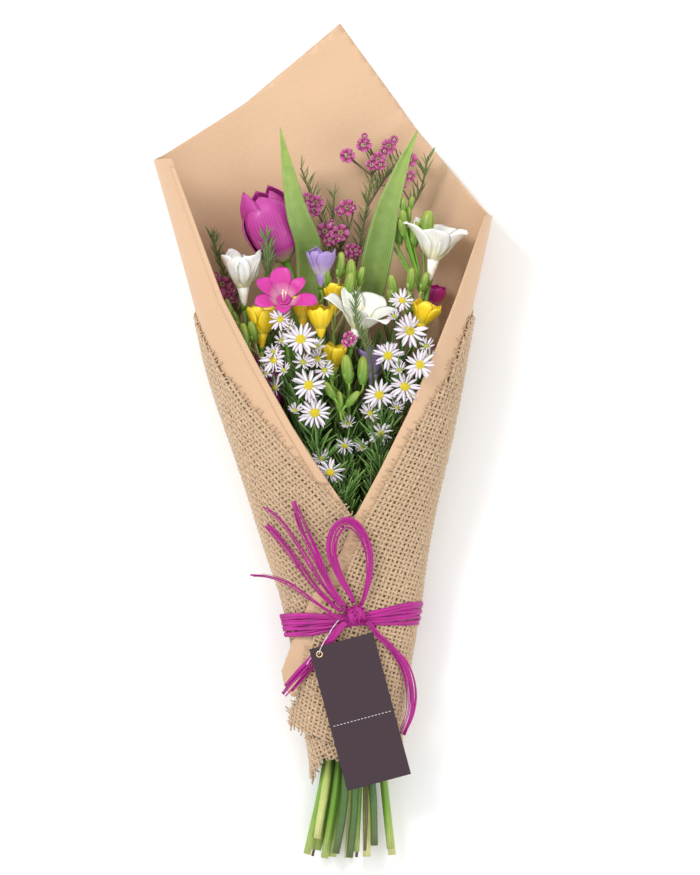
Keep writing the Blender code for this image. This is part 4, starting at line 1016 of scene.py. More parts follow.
# Centre, axis, radius, droop and spray of each large aster
ASTERS = (
    ((-15.8, 75, 88), (0.0, 0.25, 1.0), 13.5, 0.05, 2),
    ((-9.8, 41, 85), (-0.05, -0.1, 1.0), 13.5, 0.0, 2),
    ((-5.3, 20.5, 79), (0.05, -0.3, 1.0), 13.5, 0.05, 2),
    ((-36, 60, 80), (-0.5, 0.1, 1.0), 11, 0.1, 2),
    ((6, -24, 71), (0.0, -0.7, 1.0), 12, 0.3, 1),
    ((-31, 90, 82), (-0.2, 0.4, 1.0), 10, 0.1, 2),
    ((65.5, 81.5, 85), (0.1, 0.1, 1.0), 13.5, 0.05, 3),
    ((49.5, 63, 88), (-0.1, -0.4, 1.0), 12.5, 0.2, 3),
    ((73, 56, 91), (0.2, 0.1, 1.0), 12.5, 0.05, 3),
    ((62, 40, 83), (0.05, -0.35, 1.0), 13, 0.05, 3),
    ((42.8, 33.8, 78), (0.0, -0.3, 1.0), 12.5, 0.1, 3),
    ((60, 104, 74), (0.1, 0.5, 1.0), 10, 0.1, 3),
)
# Head of the main stem, cut end, small heads grown on, and leaves: from, to, length
ASTER_SPRAYS = (
    ((16, -32, 58), -314, (((17, -4, 66), (0.1, -0.6, 0.9), 8),), (-75, -34, 26)),
    ((-5, 12, 65), -311,
     (((-35, 39, 74), (-0.8, 0.3, 0.6), 9), ((-3.5, 60.5, 79), (0.1, 0.5, 0.8), 9)),
     (-50, 8, 24)),
    ((46, 10, 64), -305, (((44, 5, 70), (0.2, -0.5, 0.9), 9),), (-50, 8, 24)),
)

# Cut end, upper path, forks (place along the stem, then path), flowers (centre, axis, size)
# and needles: from, to, count, length
WAXFLOWERS = (
    (-315, ((24, 120, 15), (31, 160, 17), (36, 190, 20), (40, 212, 24)),
     ((175, (50, 200, 22), (64, 209, 25)), (140, (58, 165, 18), (73, 185, 20), (80, 214, 24))),
     (((19, 214, 27), (0, 0.2, 1), 5), ((31.5, 222, 28), (0, 0.3, 1), 5),
      ((50, 221, 28), (0.2, 0.2, 1), 5), ((42, 211, 30), (0, 0, 1), 5),
      ((66, 211, 29), (0.2, 0.2, 1), 5), ((58.5, 193, 27), (0.3, 0, 1), 4.5)),
     (120, 205, 14, 14)),
    (-315, ((2, 110, 14), (5, 140, 18), (8, 168, 22), (9, 184, 24)),
     ((150, (-6, 178, 24), (-16, 205, 26)), (130, (16, 148, 24), (20, 158, 26))),
     (((-5, 178, 31), (0, 0.2, 1), 5.5), ((18.8, 175, 28), (0.2, 0.2, 1), 5.5),
      ((2, 157, 34), (0, 0, 1), 5.5), ((14, 156, 32), (0, 0, 1), 5.5),
      ((22, 143, 28), (0.2, 0, 1), 4.5)),
     (110, 200, 14, 14)),
    (-314, ((-63, 96, 28), (-74, 124, 28), (-83, 154, 32)), (),
     (((-75, 117, 33), (0, 0.2, 1), 5.5), ((-71, 107, 34), (0.1, 0, 1), 4.5)), (100, 150, 14, 12)),
    (-307, ((-38, 100, 42), (-40, 128, 53), (-42, 152, 62)), (), (), (118, 150, 12, 13)),
    (-309, ((38, 50, 68), (36.8, 59, 78), (33, 70, 89), (26, 85, 97), (25, 108, 99)), (),
     (((21, 76, 99), (-0.3, -0.2, 1), 4.5),), (66, 106, 12, 10)),
)

# Buds that only the scene adds, by spike: foot, axis, length and radius
MORE_BUDS = {
    1: (((-62, 84, 50), (-0.4, 1, 0.3), 15, 3.0),),
    2: (((-50, 74, 62), (-0.2, 1, 0.4), 18, 3.6), ((-60, 78, 56), (-0.4, 1, 0.3), 14, 3.0)),
    4: (((4, 116, 54), (-0.1, 1, 0.2), 20, 3.6), ((13, 122, 52), (0.1, 1, 0.2), 21, 3.6),
        ((19, 108, 56), (0.2, 1, 0.3), 20, 4.0), ((27, 116, 50), (0.3, 1, 0.2), 16, 3.0)),
    5: (((7, 46, 74), (-0.2, 1, 0.2), 16, 3.6), ((9, 32, 78), (-0.6, 1, 0.3), 15, 3.2),
        ((19, 26, 76), (0.6, 0.7, 0.2), 15, 3.0)),
    7: (((69, 146, 46), (0.1, 1, 0.2), 20, 3.8), ((63, 152, 46), (-0.3, 1, 0.2), 17, 3.4),
        ((62, 160, 48), (-0.1, 1, 0.2), 15, 3.0), ((64, 163, 45), (0.1, 1, 0.2), 14, 2.8),
        ((61, 171, 50), (0.0, 1, 0.1), 12, 2.4), ((66, 173, 47), (0.2, 1, 0.1), 11, 2.2),
        ((77, 148, 44), (0.15, 1, 0.15), 27, 5.6)),
    8: (((55, 108, 52), (-0.2, 1, 0.2), 18, 3.6), ((66, 112, 54), (0.1, 1, 0.2), 19, 3.4),
        ((75, 112, 52), (0.3, 1, 0.2), 16, 3.2)),
}
# Young heads that only the scene adds, by spray
ASTER_BUDS = {
    1: ((-1, -14, 66), (12, -42, 58), (20, 12, 64), (30, -6, 62)),
    2: ((-24, 84, 84), (-28, 52, 84), (-20, 22, 78), (2, 52, 82), (-14, 58, 84), (-36, 66, 80),
        (-42, 50, 78), (-8, 34, 82), (-30, 74, 82), (-4, 70, 80)),
    3: ((54, 92, 82), (78, 70, 84), (56, 24, 74), (36, 20, 70), (58, 52, 88), (62, 84, 84),
        (50, 66, 82), (74, 54, 84), (66, 34, 80), (80, 62, 82)),
}


GEOMETRY = "NodeSocketGeometry"


def read_attribute(shades: Shades, name: str, kind: str) -> Socket:
    """Named attribute as a socket in a geometry tree."""
    return shades.add("GeometryNodeInputNamedAttribute", {"Name": name}, data_type=kind).outputs[0]


def new_tree(name: str, *inputs: tuple[str, str, object]) -> tuple[Shades, Node, Node]:
    """Empty geometry tree with a mesh in and out, a scale, a finish and its own inputs."""
    return new_group(name, [("Mesh", GEOMETRY, None), ("Scale", FLOAT, 1.0),
                            ("Finish", "NodeSocketMaterial", None), *inputs],
                     ("Mesh", GEOMETRY), kind="GeometryNodeTree")


def end_tree(shades: Shades, inside: Node, out: Node, shape: Socket) -> Tree:
    """Close a geometry tree: real copies, their material and the mesh out.

    Args:
        shades: The tree's helper.
        inside: Its input node.
        out: Its output node.
        shape: The socket with its copies.

    Returns:
        The tree.
    """
    real = shades.add("GeometryNodeRealizeInstances", {0: shape})
    dressed = shades.add("GeometryNodeSetMaterial", {"Geometry": real.outputs[0],
                                                     "Material": inside.outputs["Finish"]})
    shades.feed(out, {"Mesh": dressed.outputs[0]})
    return shades.tree


def scatter_tree() -> Tree:
    """Copies of one shape on points that each hold a way, a roll and a size."""
    shades, inside, out = new_tree("Scatter", ("Shape", "NodeSocketObject", None))
    shape = shades.add("GeometryNodeObjectInfo", {"Object": inside.outputs["Shape"]})
    aligned = shades.add("FunctionNodeAlignRotationToVector", {
        "Vector": read_attribute(shades, "way", "FLOAT_VECTOR")}, axis="Z")
    spin = shades.add("FunctionNodeAxisAngleToRotation", {
        "Axis": (0.0, 0.0, 1.0), "Angle": read_attribute(shades, "roll", "FLOAT")})
    turned = shades.add("FunctionNodeRotateRotation", {
        "Rotation": aligned.outputs[0], "Rotate By": spin.outputs[0]}, rotation_space="LOCAL")
    size = shades.math("MULTIPLY", read_attribute(shades, "size", "FLOAT"), inside.outputs["Scale"])
    copies = shades.add("GeometryNodeInstanceOnPoints", {
        "Points": inside.outputs["Mesh"], "Instance": shape.outputs["Geometry"],
        "Rotation": turned.outputs[0], "Scale": size})
    return end_tree(shades, inside, out, copies.outputs[0])


def yarn_tree() -> Tree:
    """Yarn spun along the edges of a mesh, as thick as its points say."""
    shades, inside, out = new_tree("Yarn", ("Sides", "NodeSocketInt", 4))
    curve = shades.add("GeometryNodeMeshToCurve", {"Mesh": inside.outputs["Mesh"]})
    length = shades.add("GeometryNodeSplineParameter")
    along = shades.add("GeometryNodeStoreNamedAttribute", {
        "Geometry": curve.outputs[0], "Name": "along", "Value": length.outputs["Length"]},
        data_type="FLOAT", domain="POINT")
    radius = shades.math("MULTIPLY", read_attribute(shades, "radius_here", "FLOAT"),
                         inside.outputs["Scale"])
    ring = shades.add("GeometryNodeCurvePrimitiveCircle", {
        "Resolution": inside.outputs["Sides"], "Radius": 1.0})
    place = shades.add("GeometryNodeInputIndex")
    around = shades.add("GeometryNodeStoreNamedAttribute", {
        "Geometry": ring.outputs[0], "Name": "around",
        "Value": shades.math("DIVIDE", place.outputs[0], inside.outputs["Sides"])},
        data_type="FLOAT", domain="POINT")
    spun = shades.add("GeometryNodeCurveToMesh", {
        "Curve": along.outputs[0], "Profile Curve": around.outputs[0], "Scale": radius,
        "Fill Caps": True})
    smooth = shades.add("GeometryNodeSetShadeSmooth", {"Geometry": spun.outputs[0]})
    return end_tree(shades, inside, out, smooth.outputs[0])


SCATTER = scatter_tree()
YARN_TREE = yarn_tree()


def grown(name: str, carrier: Mesh, tree: Tree, values: dict) -> Item:
    """Plain mesh that a geometry tree makes from a carrier mesh.

    Args:
        name: Name of the piece.
        carrier: Mesh of points or edges, in metres.
        tree: The geometry tree.
        values: Values of its named inputs.

    Returns:
        An object with the finished mesh and no modifier.
    """
    item = placed_object(name, carrier)
    modifier = item.modifiers.new("growth", "NODES")
    modifier.node_group = tree
    for socket in tree.interface.items_tree:
        if socket.in_out == "INPUT" and socket.name in values:
            modifier[socket.identifier] = values[socket.name]
    bpy.context.view_layer.update()
    graph = bpy.context.evaluated_depsgraph_get()
    mesh = bpy.data.meshes.new_from_object(item.evaluated_get(graph))
    item.modifiers.remove(modifier)
    item.data = mesh
    mesh.name = name
    bpy.data.meshes.remove(carrier)
    return item


def points_mesh(points: np.ndarray, edges: np.ndarray, values: dict) -> Mesh:
    """Carrier mesh of a geometry tree.

    Args:
        points: Its points, in millimetres.
        edges: Pairs of their numbers.
        values: Its attributes: names, with a number or three for each point.

    Returns:
        The mesh, in metres.
    """
    mesh = bpy.data.meshes.new("carrier")
    mesh.vertices.add(len(points))
    mesh.vertices.foreach_set("co", (np.asarray(points, float) * MM).ravel())
    if len(edges):
        mesh.edges.add(len(edges))
        mesh.edges.foreach_set("vertices", np.asarray(edges).ravel())
    for name, value in values.items():
        value = np.asarray(value, float)
        kind = "FLOAT_VECTOR" if value.ndim == 2 else "FLOAT"
        layer = mesh.attributes.new(name, kind, "POINT")
        layer.data.foreach_set("vector" if value.ndim == 2 else "value", value.ravel())
    mesh.update()
    return mesh


@dataclass
class Spots:
    """Places where copies of one shape grow."""

    points: list[Vector] = field(default_factory=list)
    ways: list[Vector] = field(default_factory=list)
    rolls: list[float] = field(default_factory=list)
    sizes: list[float] = field(default_factory=list)

    def add(self, point: Vector, way: Vector, roll: float, size: float) -> None:
        """Add one place.

        Args:
            point: The place.
            way: The way in which the copy grows.
            roll: Its turn about that way.
            size: Its size.
        """
        self.points.append(Vector(point))
        self.ways.append(Vector(way).normalized())
        self.rolls.append(roll)
        self.sizes.append(size)

    def grow(self, name: str, shape: Body, finish: Finish) -> Item:
        """Grow a copy of a shape at each place.

        Args:
            name: Name of the piece.
            shape: The shape, a millimetre in size.
            finish: Its finish.

        Returns:
            One object with every copy.
        """
        base = shape.made(name + "_one", finish)
        carrier = points_mesh(np.array([tuple(p) for p in self.points]), np.empty(0),
                              {"way": [tuple(w) for w in self.ways], "roll": self.rolls,
                               "size": self.sizes})
        made = grown(name, carrier, SCATTER, {"Shape": base, "Finish": finish.material()})
        bpy.data.objects.remove(base, do_unlink=True)
        return made


def joined(name: str, parts: Sequence[Item]) -> Item:
    """One piece from several.

    Args:
        name: Name of the piece.
        parts: Its parts, which are used up.

    Returns:
        The piece, with its parts' materials.
    """
    shape = bmesh.new()
    materials: list[Material] = []
    for part in parts:
        index = []
        for material in part.data.materials:
            if material not in materials:
                materials.append(material)
            index.append(materials.index(material))
        values = np.empty(len(part.data.polygons), np.int32)
        part.data.polygons.foreach_get("material_index", values)
        part.data.polygons.foreach_set("material_index", np.array(index or [0])[values])
        shape.from_mesh(part.data)
    mesh = bpy.data.meshes.new(name)
    shape.to_mesh(mesh)
    shape.free()
    for material in materials:
        mesh.materials.append(material)
    for part in parts:
        bpy.data.objects.remove(part, do_unlink=True)
    return placed_object(name, mesh)


def leaf_shape(width: float, fold: float, droop: float, rows: int = 6) -> Body:
    """Narrow leaf one millimetre long for a scatter, pointing up +Z and facing -Y.

    Args:
        width: Its width as a share of its length.
        fold: How far its edges rise from its midrib, as a share of its width.
        droop: How far its tip bends back, as a share of its length.
        rows: How many rows of points it has.

    Returns:
        A body with the leaf.
    """
    share = np.linspace(0, 1, rows)
    half = width / 2 * np.sin(np.pi * np.clip(share * 0.93 + 0.07, 0, 1)) ** 0.7
    half[-1] = 0.0
    side = np.array([-1.0, 0.0, 1.0])
    grid = np.stack([half[:, None] * side, -droop * share[:, None] ** 2
                     - fold * half[:, None] * (1 - np.abs(side)),
                     np.broadcast_to(share[:, None], (rows, 3))], axis=-1)
    body = Body()
    body.blade(grid, width * 0.22)
    return body


def thicken(sheet: Item, thickness: float) -> None:
    """Give a sheet a wall of even thickness, in millimetres, on both sides of its middle."""
    wall = sheet.modifiers.new("thickness", "SOLIDIFY")
    wall.thickness, wall.offset = thickness * MM, 0.0


@dataclass
class KraftPaper:
    """Cone of kraft paper with its tall back sheet, its folded hem and its creases."""

    thickness: float = 0.5
    column_step: float = math.radians(2.5)
    row_step: float = 3.2
    hem_width: float = 7.5
    hem_rows: tuple[float, float] = (-36.0, 205.0)
    hem_lift: float = 0.62
    crease_waves: int = 9
    lowest: float = 0.3
    sharp_rows: tuple[float, ...] = (167.8, 168.1, 209.8, 210.1, 315.0)
    back_left: Knots = ((210, -126.8), (255, -57.8), (315, 13.5))
    back_right: Knots = ((168, 126.9), (234, 72), (315, 13.5))
    flap_left: Knots = ((-193, 42), (-118, 48), (-85, 41), (-57, 22.5), (-14, -6.8), (10, -22),
                        (35, -36), (59, -49.5), (105, -73.5), (135, -84.8), (210, -112))
    flap_right: Knots = ((-193, -22.5), (-181, -33), (-155, -23.5), (-118, -8), (-85, 13.5),
                         (-57, 24.8), (-22, 43.5), (19, 63.8), (71, 86), (108, 101), (168, 122))

    def edges(self, y: np.ndarray) -> tuple[np.ndarray, np.ndarray]:
        """Edges of the paper.

        Args:
            y: Places along the bouquet.

        Returns:
            First and last turn of the paper there.
        """
        first, last = (np.where(
            y > back[0][0], CONE.turn_at(y, value_at(back, y), -QUARTER, QUARTER),
            CONE.turn_at(y, value_at(flap, y), *reach)) for back, flap, reach in (
                (self.back_left, self.flap_left, (-3 * QUARTER, -QUARTER)),
                (self.back_right, self.flap_right, (QUARTER, 3 * QUARTER))))
        return first, last

    def crease(self, y: np.ndarray, turn: np.ndarray) -> np.ndarray:
        """Creases and folds of the paper.

        Args:
            y: Places along the bouquet.
            turn: Turns from the middle of the back.

        Returns:
            How far out from the smooth cone the paper stands, less than 0 where it is inwards.
        """
        rng = random.Random(5)
        low = np.zeros_like(y)
        for _ in range(self.crease_waves):
            a, b = rng.uniform(0.01, 0.045), rng.uniform(-5, 5)
            low = low + np.sin(a * y + b * turn + rng.uniform(0, 6.28))
        free = np.clip((y - 110) / 90, 0, 1) * np.clip(1.45 - np.abs(turn), 0, 1)
        fold = np.exp(-((turn * 60 - (y - 200) * 0.55) / 5) ** 2)
        fold = fold + 0.7 * np.exp(-((turn * 60 + (y - 250) * 0.35) / 4) ** 2)
        return -0.07 * low - free * (1.6 + 0.6 * low + 1.6 * fold)

    def build(self) -> Item:
        """Make the paper.

        Returns:
            The settled piece.
        """
        knots = {v[0] for table in (self.back_left, self.back_right, self.flap_left,
                                    self.flap_right) for v in table}
        rows = np.array(sorted({*np.arange(-193, 315, self.row_step), *knots,
                                *self.sharp_rows}), float)
        first, last = self.edges(rows)
        most = math.ceil(3 * QUARTER / self.column_step) + 1
        turns = np.arange(-most, most + 1) * self.column_step
        turn = np.clip(turns[None, :], first[:, None], last[:, None])
        y = np.broadcast_to(rows[:, None], turn.shape)
        out = self.crease(y, turn)
        points = CONE.point(y, turn, out)
        points[..., 2] = np.maximum(points[..., 2], self.lowest)
        body = Body()
        body.grid(points, uv=np.stack([turn * 70, y + turn * 15], axis=-1))
        hem = rows[(rows > self.hem_rows[0]) & (rows < self.hem_rows[1])]
        start = self.edges(hem)[0][:, None]
        width = CONE.size(hem)[1][:, None]
        share = np.linspace(0, 1, 5)[None, :]
        turn = start + share * self.hem_width / width
        y = np.broadcast_to(hem[:, None], turn.shape)
        lift = self.hem_lift * np.minimum(1.0, share * 6) + 0.1
        body.grid(CONE.point(y, turn, self.crease(y, turn) + lift), uv=np.stack(
            [turn * 70, y - 4.0], axis=-1))
        paper = body.made("kraft_sheet", Finish.KRAFT)
        thicken(paper, self.thickness)
        return settle(paper, "kraft", "kraft_paper")


@dataclass
class BurlapWrap:
    """Loose jute weave on the bias, with frayed edges, over a sheet darkened with painted shade."""

    pitch: float = 3.4
    bias: float = math.radians(5)
    yarn_radius: float = 1.32
    crimp: float = 0.62
    shade_sheet_offset: float = BURLAP_OFFSET - 0.9
    shade_sheet_thickness: float = 0.4
    shade_sheet_inset: float = 0.02
    apex: float = 420.0
    stretch: float = 1.02
    start: float = 430.0
    yarn_count: int = 290
    unevenness: float = 0.07
    fray: float = 0.5
    fray_thickness: float = 0.42
    nowhere: float = -999.0
    flap_left: Knots = ((-240, 20), (-193, 40), (-118, 46), (-85, 39), (-57, 22.5), (-33, -3),
                        (4, -33.8), (25, -53), (50, -73), (76, -88), (92, -93.5))
    flap_right: Knots = ((-240, 46), (-222, -6), (-211, -28), (-195, -18), (-165, -9), (-127, 0),
                         (-105, 16), (-59, 33), (-34, 46.5), (10, 70.5), (51, 96), (92, 110.5))
    top: float = 92.0
    bottom: float = -238.0
    tip: tuple[float, float, float] = (-math.pi / 2, 0.8, 18.0)

    def edges(self, y: np.ndarray) -> tuple[np.ndarray, np.ndarray]:
        """Edges of the burlap.

        Args:
            y: Places along the bouquet.

        Returns:
            First and last turn of the burlap there.
        """
        held = np.clip(y, self.flap_left[0][0], self.top)
        first = CONE.turn_at(held, value_at(self.flap_left, held), -3 * QUARTER, -QUARTER)
        return first, CONE.turn_at(held, value_at(self.flap_right, held), QUARTER, 3 * QUARTER)

    def low_end(self, turn: np.ndarray) -> np.ndarray:
        """Lowest y of the cloth at each turn."""
        share = np.maximum(0.0, 1 - np.abs(turn - self.tip[0]) / self.tip[1])
        return self.bottom - self.tip[2] * share

    def spread(self) -> tuple[np.ndarray, np.ndarray, np.ndarray]:
        """Table that lays the flat cloth on the cone.

        Returns:
            Rows, turns and the arc length from the middle of the back at each.
        """
        rows = np.linspace(-262, 104, 75)
        turns = np.linspace(-4.9, 4.9, 393)
        points = CONE.point(rows[:, None], turns[None, :], BURLAP_OFFSET)
        steps = np.linalg.norm(np.diff(points[..., [0, 2]], axis=1), axis=-1)
        arc = np.concatenate([np.zeros((len(rows), 1)), np.cumsum(steps, axis=1)], axis=1)
        return rows, turns, arc - arc[:, [len(turns) // 2]]

    def on_cone(self, flat: np.ndarray) -> tuple[np.ndarray, np.ndarray]:
        """Lay points of the flat cloth on the cone.

        Args:
            flat: Points of the flat cloth.

        Returns:
            Their places along the bouquet and their turns.
        """
        rows, turns, arc = self.spread()
        reach = np.hypot(flat[:, 0], flat[:, 1])
        y = reach / self.stretch - self.apex
        length = np.arctan2(flat[:, 1], flat[:, 0]) * reach
        place = np.clip((y - rows[0]) / (rows[1] - rows[0]), 0, len(rows) - 1.001)
        low = place.astype(int)
        part = (place - low)[:, None]
        table = arc[low] * (1 - part) + arc[low + 1] * part
        index = np.clip((table < length[:, None]).sum(axis=1), 1, len(turns) - 1)
        every = np.arange(len(index))
        before, after = table[every, index - 1], table[every, index]
        share = (length - before) / (after - before)
        return y, turns[index - 1] + share * (turns[1] - turns[0])

    def lattice(self) -> tuple[np.ndarray, np.ndarray, np.ndarray, np.ndarray]:
        """Every crossing of the weave.

        Returns:
            Its place along the bouquet, its turn, whether it lies inside the cloth, and which
            yarn lies on top.
        """
        count = self.yarn_count
        first, second = np.meshgrid(np.arange(-count, count), np.arange(-count, count),
                                    indexing="ij")
        one = np.array([math.cos(self.bias), math.sin(self.bias)]) * self.pitch
        two = np.array([-one[1], one[0]])
        rng = np.random.default_rng(3)
        wander = rng.normal(0, self.unevenness, (2, 2 * count))
        flat = ((first + wander[0][first + count])[..., None] * one
                + (second + wander[1][second + count])[..., None] * two)
        flat = flat + np.array([self.start, 0.0])
        shape = first.shape
        reach = np.hypot(flat[..., 0], flat[..., 1])
        y_flat = reach / self.stretch - self.apex
        turn_flat = np.arctan2(flat[..., 1], flat[..., 0])
        wanted = (y_flat > -270) & (y_flat < 106) & (np.abs(turn_flat) < 2.6)
        y = np.full(shape, self.nowhere)
        turn = np.zeros(shape)
        y[wanted], turn[wanted] = self.on_cone(flat[wanted])
        low, high = self.edges(y)
        inside = wanted & (turn > low) & (turn < high) & (y < self.top)
        inside &= y > self.low_end(turn)
        return y, turn, inside, np.where((first + second) % 2, 1.0, -1.0)

    def yarns(self, name: str, seed: int, flip: bool) -> Item:
        """All the yarns that run one way.

        Args:
            name: Name of the piece.
            seed: Seed of their loose ends and slubs.
            flip: Whether they run the other way.

        Returns:
            The piece.
        """
        y, turn, inside, sign = self.lattice()
        if flip:
            y, turn, inside, sign = y.T, turn.T, inside.T, -sign.T
        rng = np.random.default_rng(seed)
        held = inside
        known = y > self.nowhere
        for _ in range(2):
            held = held | (known & (np.roll(held, 1, 1) | np.roll(held, -1, 1))
                           & (rng.random(held.shape) < 0.8))
        index = np.full(held.shape, -1)
        index[held] = np.arange(held.sum())
        out = np.where(inside, BURLAP_OFFSET + sign * self.crimp, 0.95)
        points = CONE.point(y[held], turn[held], out[held])
        points += rng.normal(0, self.unevenness, points.shape)
        loose = ~inside[held]
        points[loose] += rng.normal(0, self.fray, (loose.sum(), 3)) * (1, 1, 0.3)
        thick = self.yarn_radius * (1 + 0.12 * rng.standard_normal(len(points)).clip(-1.5, 1.8))
        thick[loose] *= self.fray_thickness
        points[:, 2] = np.maximum(points[:, 2], thick + 0.05)
        here, there = index[:, :-1], index[:, 1:]
        both = (here >= 0) & (there >= 0)
        edges = np.stack([here[both], there[both]], axis=-1)
        span = np.linalg.norm(points[edges[:, 0]] - points[edges[:, 1]], axis=1)
        edges = edges[span < 2.2 * self.pitch]
        mesh = points_mesh(points, edges, {"radius_here": thick * MM})
        return grown(name, mesh, YARN_TREE, {"Finish": Finish.YARN.material()})

    def build(self, paper: Item) -> None:
        """Make the sheet under the yarns, dark with painted shade, and both sets of yarns.

        Args:
            paper: The kraft paper, which the burlap lies on; not used.
        """
        rows = np.array(sorted({*np.linspace(self.bottom, self.top - 1.0, 84),
                                *(k[0] for k in self.flap_right[1:-1])}))
        first, last = self.edges(rows)
        turns = np.arange(-97, 98) * math.radians(2.8)
        turn = np.clip(turns[None, :], first[:, None] + self.shade_sheet_inset,
                       last[:, None] - self.shade_sheet_inset)
        y = np.broadcast_to(rows[:, None], turn.shape).copy()
        y[0] = self.low_end(turn[0])
        points = CONE.point(y, turn, self.shade_sheet_offset)
        points[..., 2] = np.maximum(points[..., 2], 0.3)
        body = Body()
        body.grid(points, uv=np.stack([turn * 30, y / 3], axis=-1))
        # Sheet under the yarns, dark with painted shade of the gaps between them
        shade_sheet = body.made("burlap_ground", Finish.CLOTH)
        thicken(shade_sheet, self.shade_sheet_thickness)
        settle(shade_sheet, "jute", "burlap_wrap")
        weave = [settle(self.yarns("burlap_warp", 21, False), "jute"),
                 settle(self.yarns("burlap_weft", 22, True), "jute")]


@dataclass
class RaffiaTie:
    """Band of raffia strips, its wound knot, its loop and its six loose tails."""

    strips: int = 9
    strip_radius: float = 1.5
    band_spread: float = 16.0
    last_turn: float = 1.9 * math.pi
    band_points: int = 91
    winds: int = 9
    run_points: int = 40

    def centre(self) -> Vector:
        """Middle of the knot."""
        return Vector((*KNOT, CONE.top_of(*KNOT) + BAND_THICK + KNOT_SIZE[2] * 0.7))

    def band(self) -> None:
        """Make the strips round the wrap and the wound knot."""
        rng = random.Random(31)
        body = Body()
        turns = [-QUARTER + self.last_turn * step / (self.band_points - 1)
                 for step in range(self.band_points)]
        for strip in range(self.strips):
            shift = (strip - (self.strips - 1) / 2) / self.strips * self.band_spread
            phase, sway = rng.uniform(0, 6.28), rng.uniform(0.5, 1.4)
            path = []
            for turn in turns:
                x = float(CONE.point(BAND_MIDDLE, turn)[0])
                drawn_in = 0.42 + 0.58 * min(1.0, abs(x - KNOT[0]) / 34)
                if turn < QUARTER:
                    drawn_in = 1.0
                y = BAND_MIDDLE + BAND_TILT * (x - KNOT[0]) + shift * drawn_in
                y += sway * math.sin(turn * 3 + phase) * drawn_in
                out = CONE.tie_offset(turn) - float(CONE.spiral(turn))
                lift = 0.6 + 0.55 * (strip % 3) * 0.7 + 0.2 * math.sin(5 * turn + phase)
                path.append(Vector(CONE.point(y, turn, out + lift)))
            path.append(path[0].copy())
            body.tube(path, self.strip_radius * rng.uniform(0.8, 1.15), 8, flat=0.42,
                      upright=True, closed=True)
        centre = self.centre()
        size = Vector(KNOT_SIZE)
        for wind in range(self.winds):
            lean = (-1) ** wind * rng.uniform(0.15, 0.75)
            across = polar(1.0, lean)
            onwards = Vector((-math.sin(lean), math.cos(lean), 0.0))
            slide = (wind - self.winds // 2) * 1.15
            path = []
            for step in range(33):
                angle = 2 * math.pi * step / 32
                path.append(centre + across * (slide + 0.8 * math.sin(2 * angle + wind))
                            + onwards * (size.y - 2.6) * math.cos(angle)
                            + Vector((0, 0, (size.z - 1.2) * math.sin(angle))))
            body.tube(path, rng.uniform(1.1, 1.7), 8, flat=0.5, closed=True)
        half = size.x * 0.7
        profile = [(4.4 * math.sin(math.pi * k / 8), -half * math.cos(math.pi * k / 8))
                   for k in range(9)]
        body.lathe(facing(centre, (1, 0, 0)), profile, 16)
        settle(body.made("raffia_strips", Finish.RAFFIA), "raffia", "raffia_band")

    def run(self, name: str, radius: float, points: Sequence[Triple]) -> None:
        """One loose run of raffia.

        Args:
            name: Name of the solid that it stands for.
            radius: Half its width.
            points: Places across, along and above the wrap's top.
        """
        loop = name == "raffia_loop"
        centre, most = self.centre(), self.run_points
        path = [Vector((x, y, CONE.top_of(x, y) + up)) for x, y, up in points]
        path.insert(0, self.knot_side(centre, path[0]))
        if loop:
            path.append(self.knot_side(centre, path[-1]))
        path = smooth_path(path, most)
        body = Body()
        rng = random.Random(name)
        count = 2 + round(radius * 1.7)
        for strip in range(count):
            shift = (strip - (count - 1) / 2) / (count - 1) * 2
            phase = rng.uniform(0, 6.28)
            end = most if loop else rng.randint(most - 4, most)
            if abs(shift) < 0.7:
                end = most
            way = []
            for place in range(end):
                across = ahead_of(path, place).cross(UP).normalized()
                share = place / (most - 1)
                open_here = math.sin(math.pi * share) if loop else min(1.0, share * 2.2)
                fan = shift * radius * (0.3 + 1.0 * open_here)
                fan += 0.28 * radius * math.sin(place / 5 + phase) * open_here
                way.append(path[place] + across * fan
                           + Vector((0, 0, 0.4 * math.sin(place / 7 + 2 * phase))))
            way[-1] += (way[-1] - way[-2]) * 0.3
            wide = max(0.45, min(1.15, radius * rng.uniform(0.28, 0.48)))
            widths = [wide * (1 + 0.22 * math.sin(place / 4 + phase)) for place in range(end)]
            body.tube(way, widths, 8, flat=0.42, twist=rng.uniform(-2.5, 2.5))
        piece = settle(body.made(name + "_strips", Finish.RAFFIA), "raffia", name)

    @staticmethod
    def knot_side(centre: Vector, towards: Vector) -> Vector:
        """Point just outside the knot.

        Args:
            centre: Middle of the knot.
            towards: The point that it is on the way to.

        Returns:
            The point.
        """
        run = (towards - centre).normalized()
        reach = 1 / math.sqrt(sum((part / size) ** 2 for part, size in zip(run, KNOT_SIZE)))
        return centre + run * (reach + SEAT_GAP / 2)

    def build(self) -> None:
        """Make the runs, then the band."""
        for name, (radius, points) in RAFFIA_RUNS.items():
            self.run(name, radius, points)
        self.band()


